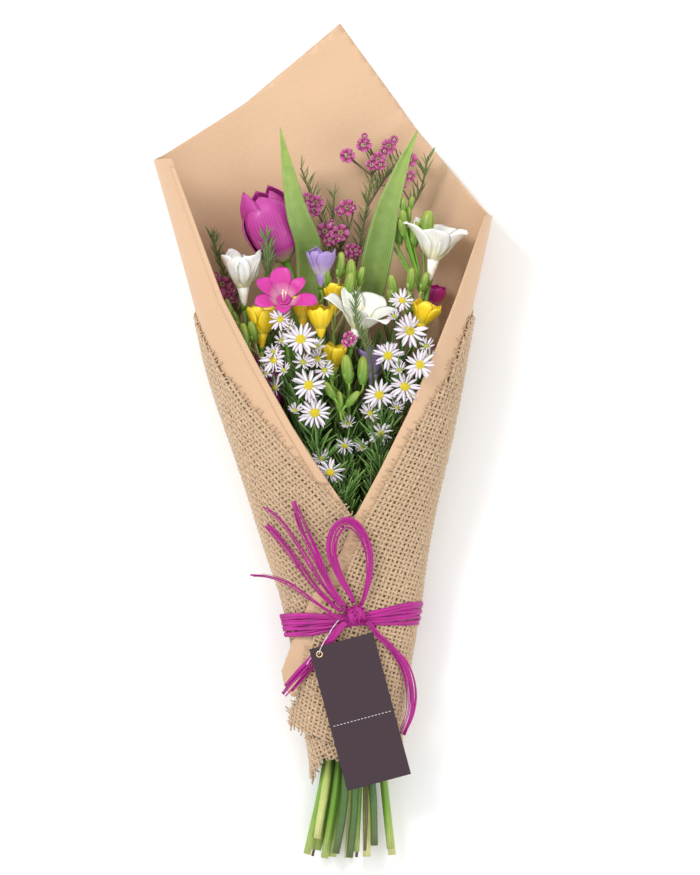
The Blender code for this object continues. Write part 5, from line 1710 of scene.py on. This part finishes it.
@dataclass
class HangTag:
    """Plum card with its eyelet, its dashed tear line and the thread that holds it.

    lift is how far its upper and lower ends lie above the wrap, hole_inset the hole's distance
    from its left and upper edges, and eyelet the radius of the eyelet and of its rim.
    """

    size: Triple = (49.5, 112.0, 0.7)
    middle: tuple[float, float] = (28.6, -203.5)
    turn: float = math.radians(15.0)
    lift: tuple[float, float] = (6.8, 2.8)
    hole: float = 3.4
    thread: float = 0.9
    dashes: int = 17
    hole_inset: tuple[float, float] = (6.5, 5.5)
    tear_height: float = 50.5
    eyelet: tuple[float, float] = (2.15, 0.5)

    def place(self) -> Matrix:
        """The card's place, from the wrap's height under its two ends.

        Returns:
            The matrix that puts it there, with its face up.
        """
        upper = CONE.top_of(12, -150) + self.lift[0]
        lower = CONE.top_of(40, -250) + self.lift[1]
        slope = math.atan2(upper - lower, self.size[1])
        return (Matrix.Translation((*self.middle, (upper + lower) / 2))
                @ Matrix.Rotation(self.turn, 4, "Z") @ Matrix.Rotation(slope, 4, "X"))

    def outline(self, centre: tuple[float, float], inset: float) -> tuple[np.ndarray, np.ndarray]:
        """Outline of the card, seen at even turns from its hole.

        Args:
            centre: Middle of the hole.
            inset: How far inside the card's edge the outline lies.

        Returns:
            The points and their turns.
        """
        points = []
        half = (self.size[0] / 2 - inset, self.size[1] / 2 - inset)
        corners = [math.atan2(sy * half[1] - centre[1], sx * half[0] - centre[0])
                   for sx in (-1, 1) for sy in (-1, 1)]
        turns = sorted({*np.linspace(-math.pi, math.pi, 72, endpoint=False),
                        *(c + d for c in corners for d in (-0.012, 0.0, 0.012))})
        for angle in turns:
            run = (math.cos(angle), math.sin(angle))
            reach = min(((half[axis] if run[axis] > 0 else -half[axis]) - centre[axis]) / run[axis]
                        for axis in (0, 1) if abs(run[axis]) > 1e-6)
            points.append((centre[0] + run[0] * reach, centre[1] + run[1] * reach))
        return np.array(points), np.array(turns)

    def build(self) -> None:
        """Make the card with its tear line, its eyelet and its thread."""
        place = self.place()
        width, height, thick = self.size
        centre = (-width / 2 + self.hole_inset[0], height / 2 - self.hole_inset[1])
        body = Body()
        rings = []
        for inset, rise in ((0.25, 0.5), (0.0, 0.25), (0.0, -0.25), (0.25, -0.5)):
            edge, turns = self.outline(centre, inset)
            rings.append(np.column_stack([edge, np.full(len(edge), rise * thick)]))
        ring = np.column_stack([centre[0] + self.hole / 2 * np.cos(turns),
                                centre[1] + self.hole / 2 * np.sin(turns)])
        low = np.column_stack([ring, np.full(len(ring), -thick / 2)])
        high = np.column_stack([ring, np.full(len(ring), thick / 2)])
        grid = np.stack([low, high, *rings, low])
        body.grid(moved(grid, place), wrap=True, flip=True, uv=grid[..., :2] / 50)
        card = body.made("tag_sheet", Finish.CARD, smooth=False)
        settle(card, "card", "tag_card")
        body = Body()
        for dash in range(self.dashes):
            x = -width / 2 + 2.0 + (width - 4.0) * (dash + 0.5) / self.dashes
            middle = Vector((x, -height / 2 + self.tear_height, thick / 2 + 0.04))
            path = [place @ (middle + Vector((d, 0, 0))) for d in (-0.8, -0.6, 0.6, 0.8)]
            body.tube(path, [0.12, 0.24, 0.24, 0.12], 6)
        settle(body.made("tag_tear_line", Finish.DASH), "card")
        body = Body()
        ring = [place @ Vector((centre[0] + self.eyelet[0] * math.cos(turn),
                                centre[1] + self.eyelet[0] * math.sin(turn), thick / 2 + 0.1))
                for turn in np.linspace(0, 2 * math.pi, 29)]
        body.tube(ring, self.eyelet[1], 8, closed=True)
        settle(body.made("tag_eyelet", Finish.EYELET), "card")
        hole = place @ Vector((*centre, 0.0))
        path = smooth_path([
            Vector((12.5, -134.5, hole.z + 3.4)), Vector((7, -142, hole.z + 3.2)),
            hole + Vector((1.5, 5.5, 2.4)), hole + Vector((0, 0.6, 0.8)),
            hole + Vector((-0.3, 0, -1.6)), hole + Vector((-6, -3, -2.4)),
            hole + Vector((-9.5, -8, -2.2))], 30)
        body = Body()
        for strand in range(2):
            twist = []
            for step, point in enumerate(path):
                angle = step * 0.9 + strand * math.pi
                twist.append(point + Vector((0.2 * math.cos(angle), 0, 0.2 * math.sin(angle))))
            body.tube(twist, self.thread * 0.3, 6)
        thread = settle(body.made("tag_cord", Finish.THREAD), "thread", "tag_thread")


def petal_grid(place: Matrix, angle: float, profile: Sequence[tuple[float, float]],
               widths: Sequence[float], cup: float, rows: int = 11, columns: int = 7,
               ruffle: float = 0.0, phase: float = 0.0) -> np.ndarray:
    """Points of one petal.

    Args:
        place: The bloom's place, with its axis along +Z.
        angle: Turn of the petal about the axis.
        profile: Radius and height of the petal's middle, from its foot to its tip.
        widths: Half widths at the same places.
        cup: How far its edges lean towards the axis.
        rows: Rows of points.
        columns: Columns of points.
        ruffle: Height of the waves along its edge.
        phase: Where those waves start.

    Returns:
        Rows by columns of points.
    """
    share = np.linspace(0, 1, len(profile))
    t = np.linspace(0, 1, rows) ** 0.9
    radius = smooth_at(tuple(zip(share, [p[0] for p in profile])), t)[:, None]
    height = smooth_at(tuple(zip(share, [p[1] for p in profile])), t)[:, None]
    width = np.maximum(smooth_at(tuple(zip(share, widths)), t), 0.02)
    width = (width * np.sqrt(np.clip(1 - t ** 7, 0, 1)))[:, None]
    side = np.linspace(-1, 1, columns)[None, :]
    inwards = radius - cup * width * side ** 2
    wave = ruffle * np.sin(9 * t[:, None] + phase + 2 * side) * np.abs(side) ** 2
    middle = 0.06 * width * np.exp(-(side * 4) ** 2)
    inwards = inwards - middle + wave * 0.6
    height = height + wave
    x = math.cos(angle) * inwards - math.sin(angle) * side * width
    y = math.sin(angle) * inwards + math.cos(angle) * side * width
    return moved(np.stack([x, y, np.broadcast_to(height, x.shape)], axis=-1), place)


def stem_radii(path: Path, radius: float) -> list[float]:
    """Radius of a stem at each point of its path, thicker and uneven below the wrap."""
    return [radius * (1 + 0.05 * math.sin(p.y / 9 + p.x))
            + STEM_SWELL * min(1.0, max(0.0, (-225 - p.y) / 30)) for p in path]


def splayed(path: Path) -> Path:
    """Stem whose part below the wrap leans away from the bunch's middle."""
    return [Vector((p.x + (p.x - STEM_MIDDLE) * STEM_SPLAY * max(0.0, -246 - p.y) / 70, p.y, p.z))
            for p in path]


@dataclass
class Tulip:
    """Closed tulip with its stem."""

    number: int
    base: Triple
    axis: Triple
    length: float
    radius: float
    roll: float
    cut: float
    stem_radius: float = 3.0

    def build(self) -> None:
        """Make the bloom and its stem."""
        place = facing(self.base, self.axis, self.roll)
        body = Body()
        foot = self.radius
        body.lathe(place, [(0.0, 0.0), (foot * 0.18, 0.1), (foot * 0.34, 3.5), (foot * 0.42, 7.0),
                           (0.0, 8.0)], 16, 1)
        rng = random.Random(self.number)
        for number in range(6):
            outer = number % 2
            size = self.radius * (1.14 if outer else 0.98)
            short = number % 3
            tall = self.length * (0.96 - 0.08 * short if outer else 1.0 - 0.05 * short)
            profile = ((size * 0.22, 2.0), (size * 0.72, tall * 0.2), (size * 0.92, tall * 0.5),
                       (size * 0.93, tall * 0.8), (size * 0.56, tall * 1.02))
            widths = (size * 0.18, size * 0.66, size * 0.88, size * 0.82, size * 0.2)
            angle = number * math.pi / 3 + 0.04 * (number % 4)
            grid = petal_grid(place, angle, profile, widths, 0.42, 19, 13, 0.5, rng.uniform(0, 6))
            body.blade(grid, 0.9)
        bloom = body.made(f"tulip_flower_{self.number}", Finish.TULIP, Finish.STEM_BRIGHT)
        settle(bloom, "magenta_petal", f"tulip_bloom_{self.number}")
        body = Body()
        path = splayed(CONE.stem_to(self.base, self.axis, self.cut))
        body.tube(path, stem_radii(path, self.stem_radius), 14, start_finish=1)
        stem = body.made(f"tulip_stalk_{self.number}", Finish.STEM_BRIGHT, Finish.CUT)
        settle(stem, "bright_stem", f"tulip_stem_{self.number}")


@dataclass
class TulipLeaf:
    """Long leaf with parallel veins and a rolled edge."""

    number: int
    points: Sequence[Triple]
    width: float
    fold: float
    rows: int = 44
    columns: int = 11

    def build(self) -> None:
        """Make the leaf."""
        path = smooth_path(self.points, self.rows)
        side = np.linspace(-1, 1, self.columns)
        grid = np.zeros((self.rows, self.columns, 3))
        for place, point in enumerate(path):
            share = place / (self.rows - 1)
            half = 1.12 * self.width * math.sin(math.pi * (0.06 + 0.94 * share) ** 0.66) ** 0.9
            across = np.array(ahead_of(path, place).cross(UP).normalized())
            wave = 0.5 * math.sin(share * 14 + self.number)
            lift = half * self.fold * (0.5 + np.abs(side)) * np.abs(side) * 1.3
            lift = lift + wave * np.abs(side) ** 3 * min(1, half / 4)
            grid[place] = np.array(point) + side[:, None] * across * half
            grid[place, :, 2] += lift
        body = Body()
        body.blade(grid, 1.0)
        settle(body.made(f"tulip_blade_{self.number}", Finish.TULIP_LEAF),
               "tulip_leaf", f"tulip_leaf_{self.number}")


@dataclass
class FreesiaFlower:
    """Freesia: a slim tube that widens into six petals round three pale anthers."""

    name: str
    base: Triple
    axis: Triple
    length: float
    openness: float
    roll: float
    finish: Finish

    def build(self) -> None:
        """Make the flower."""
        place = facing(self.base, self.axis, self.roll)
        rng = random.Random(self.name)
        length, tube = self.length, self.length * 0.42
        body = Body()
        body.lathe(place, [(0.0, 0.0), (1.4, 0.15), (1.9, tube * 0.25), (3.4, tube * 0.6),
                           (5.2, tube + 1), (4.2, tube + 1.2), (0.0, tube - 4)], 14)
        body.lathe(place, [(0.0, -0.25), (1.7, 0.0), (2.2, 3.0), (1.9, 6.5), (1.4, 6.8),
                           (0.0, 6.0)], 10, 1, (2, 0.18))
        for number in range(6):
            inner = number % 2
            reach = (0.12 + 0.5 * self.openness) * length * (0.85 if inner else 1.0)
            spread = PETAL_SPREAD.get(self.finish, PLAIN_SPREAD)
            reach *= rng.uniform(0.9, 1.1) * spread
            length = self.length * rng.uniform(0.94, 1.05)
            rise = length - tube
            profile = ((3.2, tube - 3), (5.6 + reach * 0.16, tube + rise * 0.16),
                       (6.0 + reach * 0.38, tube + rise * 0.46),
                       (4.8 + reach * 0.76, tube + rise * (0.86 - 0.24 * self.openness)),
                       (2.0 + reach, tube + rise * (1.02 - 0.5 * self.openness + 0.1 * inner)))
            half = length * (0.2 if inner else 0.235) * rng.uniform(0.85, 1.1) * spread ** 0.5
            tip = 0.34 - 0.2 * self.openness
            widths = (1.6, half * 0.66, half, half * (1.04 - 0.12 * self.openness), half * tip)
            grid = petal_grid(place, number * math.pi / 3 + rng.uniform(-0.1, 0.1), profile,
                              widths, 0.40, 15, 11, 1.1, rng.uniform(0, 6))
            body.blade(grid, 0.55)
        for number in range(3):
            angle = number * 2 * math.pi / 3 + 0.3
            path = [place @ polar(r, angle, h)
                    for r, h in ((0.4, tube - 4), (0.9, tube + 2), (1.4, tube + length * 0.22),
                                 (1.7, tube + length * 0.34))]
            body.tube(path, [0.3, 0.3, 0.55, 0.5], 6, 2)
        flower = body.made(self.name + "_flower", self.finish, Finish.BUD_GREEN, Finish.POLLEN)
        settle(flower, PETAL_SLOTS[self.finish], self.name)


@dataclass
class FreesiaSpike:
    """Stem of a freesia with its side stalks and its row of buds."""

    number: int
    main: str
    cut: float
    flowers: Sequence[str]
    buds: Sequence[tuple[Triple, Triple, float, float]]
    finish: Finish
    radius: float = 1.7

    def build(self) -> None:
        """Make the spike."""
        base, axis = FREESIAS[self.main][:2]
        trunk = splayed(CONE.stem_to(base, axis, self.cut))
        body = Body()
        body.tube(trunk, stem_radii(trunk, self.radius), 12, start_finish=2)
        for name in self.flowers:
            tip, turn = Vector(FREESIAS[name][0]), Vector(FREESIAS[name][1]).normalized()
            path = smooth_path([near(trunk, tip.y - 22), tip - turn * 10, tip + turn * 0.3], 14)
            body.tube(path, 1.1, 8)
        for point, direction, length, radius in (*self.buds, *MORE_BUDS.get(self.number, ())):
            point, direction = Vector(point), Vector(direction).normalized()
            path = smooth_path([near(trunk, point.y - 16), point - direction * 6,
                                point + direction * 1.5], 10)
            body.tube(path, 0.9, 8)
            place = facing(point, direction)
            half = length / 2
            profile = [(radius * math.sin(math.pi * k / 12) ** 0.8,
                        half - half * math.cos(math.pi * k / 12) - length * 0.08)
                       for k in range(13)]
            body.lathe(place, profile, 18, 1, (3, 0.08))
            body.lathe(place, [(0.0, -length * 0.1), (radius * 0.5, -length * 0.07),
                               (radius * 0.86, length * 0.16), (radius * 0.98, length * 0.3),
                               (radius * 0.8, length * 0.3)], 14, 0, (2, 0.1))
        spike = body.made(f"freesia_stalk_{self.number}", self.finish, Finish.BUD_GREEN, Finish.CUT)
        slot = "bright_stem" if self.finish is Finish.STEM_BRIGHT else "light_stem"
        settle(spike, slot, f"freesia_spike_{self.number}")


@dataclass
class AsterHead:
    """Aster with two layers of slim rays, a disc of florets and a scaly green cup."""

    name: str
    centre: Triple
    axis: Triple
    size: float
    droop: float
    rays: int = 17
    florets: int = 70
    cup: float = 4.5

    def build(self, rng: random.Random) -> Item:
        """Make the head.

        Args:
            rng: Source of its random numbers.

        Returns:
            The head, not yet settled.
        """
        place = facing(self.centre, self.axis, rng.uniform(0, 1))
        turn = place.to_3x3()
        disc = self.size * 0.27
        rays, florets = Spots(), Spots()
        for number in range(self.rays):
            angle = 2 * math.pi * (number + rng.uniform(-0.42, 0.42)) / self.rays
            out = polar(1.0, angle)
            level = 0.5 if number % 2 else -0.1
            way = out + Vector((0, 0, 0.1 - self.droop + rng.uniform(-0.22, 0.2) + 0.1 * level))
            reach = (self.size * 1.06 - disc * 0.7) * rng.uniform(0.74, 1.03)
            ray_turn = turn @ way.normalized()
            spin = self.roll_to(ray_turn, turn @ UP)
            rays.add(place @ (out * disc * 0.7 + Vector((0, 0, level))), ray_turn,
                     spin + rng.uniform(-0.55, 0.55), reach)
        for number in range(self.florets):
            share = math.sqrt((number + 0.5) / self.florets)
            angle = number * GOLDEN_TURN
            height = disc * 0.42 * (1 - share ** 2)
            spot = polar(disc * share, angle, height)
            way = Vector((spot.x * 0.5, spot.y * 0.5, disc))
            florets.add(place @ spot, turn @ way, 0.0, disc * 0.15)
        ray = leaf_shape(0.27, -0.3, 0.12, 8)
        bead = Body()
        bead.lathe(Matrix(), [(0.0, -1.6), (0.8, -0.9), (1.0, 0.1), (0.62, 0.9), (0.0, 1.1)], 5)
        parts = [rays.grow(self.name + "_rays", ray, Finish.RAY),
                 florets.grow(self.name + "_florets", bead, Finish.DISC)]
        body = Body()
        body.lathe(place, [(0.0, -self.cup - 0.2), (disc * 0.42, -self.cup),
                           (disc * 0.78, -self.cup * 0.5), (disc * 0.95, 0.0),
                           (disc * 0.9, 0.7), (0.0, disc * 0.36)], 14, 0, (7, 0.05))
        parts.append(body.made(self.name + "_cup", Finish.BUD_GREEN))
        return joined(self.name, parts)

    @staticmethod
    def roll_to(way: Vector, up: Vector) -> float:
        """Roll of a scattered shape.

        Args:
            way: The way in which the shape grows.
            up: The direction that its face is turned to.

        Returns:
            The roll.
        """
        turned = UP.rotation_difference(way.normalized())
        side = turned.inverted() @ up
        return math.atan2(side.x, -side.y)


@dataclass
class AsterSpray:
    """Leafy spray of asters: main stem, side stalks, small heads and narrow leaves."""

    number: int
    head: Triple
    cut: float
    small: Sequence[tuple[Triple, Triple, float]]
    leaf_box: tuple[float, float, float]
    leaves: int = 190
    deep_leaves: int = 230
    radius: float = 1.5

    def build(self, rng: random.Random) -> None:
        """Make the spray.

        Args:
            rng: Source of its random numbers.
        """
        trunk = smooth_path(CONE.stream(self.head[0], self.head[2], self.cut, self.head[1]), 40)
        body = Body()
        body.tube(splayed(trunk), stem_radii(trunk, self.radius), 10, start_finish=1)
        tips = [(a[0], a[1], False) for a in ASTERS if a[4] == self.number]
        tips += [(centre, axis, True) for centre, axis, _ in self.small]
        tips += [(centre, (0.0, 0.5, 1.0), True) for centre in ASTER_BUDS[self.number]]
        lines = [trunk]
        for centre, axis, grown_on in tips:
            run = Vector(axis).normalized()
            end = Vector(centre) - run * (0.6 if grown_on else 4.4)
            root = near(trunk, end.y - 38) if end.y - 38 < trunk[-1].y else trunk[-3]
            lean = end - run * 9
            path = smooth_path([root, root.lerp(lean, 0.55), lean, end], 16)
            lines.append(path)
            body.tube(path, 0.8, 8)
        parts = [body.made("stalks", Finish.STEM_DARK, Finish.CUT)]
        leaves = Spots()
        low, high, length = self.leaf_box
        for number in range(self.leaves):
            line = lines[rng.randrange(len(lines))] if number % 5 < 3 else trunk
            share = rng.random()
            y_low, y_high = max(line[0].y, low - 24), min(line[-1].y, high + 60)
            root = near(line, y_low + (y_high - y_low) * share)
            angle = rng.uniform(-0.7, math.pi + 0.7)
            out = Vector((math.cos(angle) * 0.9, rng.uniform(0.5, 1.7),
                          math.sin(angle) * 0.7)).normalized()
            size = length * rng.uniform(0.6, 1.2) * (0.7 if line is not trunk else 1.0)
            leaves.add(root, out, AsterHead.roll_to(out, UP) + rng.uniform(-0.7, 0.7), size)
        for _ in range(self.deep_leaves):
            y = rng.uniform(low - 20, high + 60)
            middle, half_width, floor, half_height = CONE.size(np.float64(y))
            root = Vector((middle + half_width * rng.uniform(-0.6, 0.6), y,
                           floor + half_height * rng.uniform(0.3, 0.95)))
            out = Vector((rng.uniform(-0.8, 0.8), rng.uniform(0.8, 1.6), rng.uniform(-0.1, 0.5)))
            leaves.add(root, out.normalized(), AsterHead.roll_to(out, UP)
                       + rng.uniform(-0.5, 0.5), length * rng.uniform(0.9, 1.4))
        parts.append(leaves.grow("leaves", leaf_shape(0.105, 0.5, 0.16, 8), Finish.FOLIAGE))
        for place, (centre, axis, size) in enumerate(self.small):
            head = AsterHead(f"small_head_{place}", centre, axis, size * 1.15, 0.0, 14, 34, 2.5)
            parts.append(head.build(rng))
        for place, centre in enumerate(ASTER_BUDS[self.number]):
            bud = AsterHead(f"young_head_{place}", centre, (rng.uniform(-0.5, 0.5), 0.6, 1.0),
                            rng.uniform(6.5, 10.0), rng.uniform(-0.9, 0.1), 13, 26, 3.5)
            parts.append(bud.build(rng))
        spray = joined(f"aster_stalk_{self.number}", parts)
        settle(spray, "dark_stem", f"aster_spray_{self.number}")


@dataclass
class WaxflowerSpray:
    """Woody spray with needles and small five-petalled flowers."""

    number: int
    cut: float
    points: Sequence[Triple]
    forks: Sequence[tuple[float | Triple, ...]]
    heads: Sequence[tuple[Triple, Triple, float]]
    needles: tuple[float, float, int, float]
    needle_factor: int = 11
    radius: float = 1.1
    taper: float = 0.35
    path_points: int = 40
    petals: int = 5
    stamens: int = 10

    def trunk(self) -> Path:
        """Main stem of the spray.

        Returns:
            Its path, from its cut end.
        """
        start = Vector(self.points[0])
        lower = CONE.stream(start.x, start.z, self.cut, start.y)[:-1]
        return smooth_path([*lower, *self.points], self.path_points)

    def flower(self, body: Body, centre: Triple, axis: Triple, size: float,
               rng: random.Random) -> None:
        """Add one flower: cup, round petals and a ring of stamens.

        Args:
            body: The body that it is added to.
            centre: Its middle.
            axis: Its axis.
            size: Its radius.
            rng: Source of its random numbers.
        """
        place = facing(centre, axis, rng.uniform(0, 1.2))
        body.lathe(place, [(0.0, -size * 0.62), (size * 0.16, -size * 0.55),
                           (size * 0.36, -size * 0.1), (size * 0.42, size * 0.1),
                           (size * 0.32, size * 0.12), (0.0, size * 0.02)], 12, 3)
        for number in range(self.petals):
            angle = 2 * math.pi * number / self.petals
            profile = ((size * 0.28, 0.1), (size * 0.6, 0.6), (size * 0.9, 0.9), (size * 1.08, 0.8))
            widths = (size * 0.2, size * 0.44, size * 0.46, size * 0.2)
            body.blade(petal_grid(place, angle, profile, widths, -0.12, 7, 5), 0.3, 2)
        for number in range(self.stamens):
            angle = 2 * math.pi * number / self.stamens
            path = [place @ polar(size * r, angle, h)
                    for r, h in ((0.3, 0.1), (0.28, 0.8), (0.22, 1.3))]
            body.tube(path, [0.12, 0.12, 0.24], 4, 4)

    def build(self, rng: random.Random) -> None:
        """Make the spray.

        Args:
            rng: Source of its random numbers.
        """
        trunk = self.trunk()
        body = Body()
        body.tube(trunk, [self.radius - self.taper * k / (self.path_points - 1)
                          for k in range(self.path_points)], 9)
        lines = [trunk]
        for start, *points in self.forks:
            path = smooth_path([near(trunk, start), *points], 18)
            body.tube(path, 0.75, 8)
            lines.append(path)
        heads = [(c, a, s * 1.12) for c, a, s in self.heads]
        for centre, _, size in self.heads:
            for _ in range(2):
                shift = Vector((rng.uniform(-8, 8), rng.uniform(-7, 7), rng.uniform(-2, 2.5)))
                tilt = (rng.uniform(-0.6, 0.6), rng.uniform(-0.3, 0.6), 1.0)
                heads.append((tuple(Vector(centre) + shift), tilt, size * rng.uniform(0.45, 1.0)))
        for centre, axis, size in heads:
            aim = Vector(centre) - Vector((0, 9, 0))
            twig = min((p for line in lines for p in line), key=lambda p: (p - aim).length)
            end = Vector(centre) - Vector(axis).normalized() * size * 0.55
            middle = twig.lerp(end, 0.6) + Vector((0, 0, -1))
            body.tube(smooth_path([twig, middle, end], 8), 0.5, 6)
            self.flower(body, centre, axis, size, rng)
        parts = [body.made("twigs", Finish.WOOD, Finish.CUT, Finish.WAX_PETAL,
                           Finish.WAX_CUP, Finish.POLLEN)]
        low, high, count, length = self.needles
        spots = Spots()
        for step in range(count * self.needle_factor):
            line = lines[step % len(lines)]
            first, last = max(low - 8, line[0].y), min(high + 8, line[-1].y)
            root = near(line, first + (last - first) * rng.random())
            angle = rng.uniform(0, 2 * math.pi)
            out = Vector((math.cos(angle), 1.5, 0.55 * math.sin(angle))).normalized()
            spots.add(root, out, rng.uniform(0, 6.28), length * rng.uniform(0.6, 1.1))
        parts.append(spots.grow("needles", leaf_shape(0.10, 0.0, 0.05, 5), Finish.NEEDLE))
        spray = joined(f"waxflower_twigs_{self.number}", parts)
        settle(spray, "woody_sprig", f"waxflower_spray_{self.number}")


@dataclass
class Studio:
    """Pale floor, soft light from the upper left, and a camera that looks straight down."""

    aim: Triple = (0.021, 0.0019, 0.05)
    distance: float = 6.0
    frame_height: float = 0.65625
    floor_level: float = -0.0006

    def build(self) -> None:
        """Make the camera, the lights, the world and the floor."""
        camera = bpy.data.cameras.new("camera")
        camera.sensor_fit = "VERTICAL"
        camera.sensor_height = 36.0
        camera.lens = 36.0 * self.distance / self.frame_height
        camera.clip_end = 50.0
        view = placed_object("camera", camera)
        view.location = (self.aim[0], self.aim[1], self.aim[2] + self.distance)
        bpy.context.scene.camera = view
        for name, place, size, power in (("key", (-1.0, 0.9, 1.6), 0.7, 22.0),
                                         ("fill", (1.3, -0.4, 1.6), 1.6, 11.0)):
            light = bpy.data.lights.new(name, "AREA")
            light.size = size
            light.energy = power
            lamp = placed_object(name, light)
            lamp.location = place
            lamp.rotation_euler = (Vector(place) * -1).to_track_quat("-Z", "Y").to_euler()
        world = bpy.data.worlds.new("studio")
        world.use_nodes = True
        world.node_tree.nodes["Background"].inputs["Color"].default_value = (1.0, 1.0, 1.0, 1.0)
        world.node_tree.nodes["Background"].inputs["Strength"].default_value = 0.95
        bpy.context.scene.world = world
        bpy.context.scene.view_settings.view_transform = "Standard"
        body = Body()
        side = np.linspace(-2500, 2500, 3)
        x, y = np.meshgrid(side, side)
        body.grid(np.stack([x, y, np.full(x.shape, self.floor_level / MM)], axis=-1))
        body.made("pale_floor", Finish.FLOOR, smooth=False)


def main() -> None:
    """Build every piece of the bouquet in order."""
    logging.basicConfig(level=logging.INFO, format="%(name)s: %(message)s")
    Studio().build()
    RaffiaTie().build()
    HangTag().build()
    BurlapWrap().build(KraftPaper().build())
    for number, row in enumerate(TULIPS, start=1):
        Tulip(number, *row).build()
    for number, row in enumerate(TULIP_LEAVES, start=1):
        TulipLeaf(number, *row).build()
    for name, row in FREESIAS.items():
        FreesiaFlower(name, *row).build()
    for number, row in enumerate(SPIKES, start=1):
        FreesiaSpike(number, *row).build()
    rng = random.Random(17)
    for number, (centre, axis, size, droop, _) in enumerate(ASTERS, start=1):
        head = AsterHead(f"aster_head_{number}", centre, axis, size, droop).build(rng)
        settle(head, "pale_ray", f"aster_bloom_{number}")
    for number, row in enumerate(ASTER_SPRAYS, start=1):
        AsterSpray(number, *row).build(rng)
    for number, row in enumerate(WAXFLOWERS, start=1):
        WaxflowerSpray(number, *row).build(rng)
    binding = bpy.data.objects["stem_binding"]
    for slot in binding.material_slots:
        slot.material = Finish.TWINE.material()


if __name__ == "__main__":
    main()
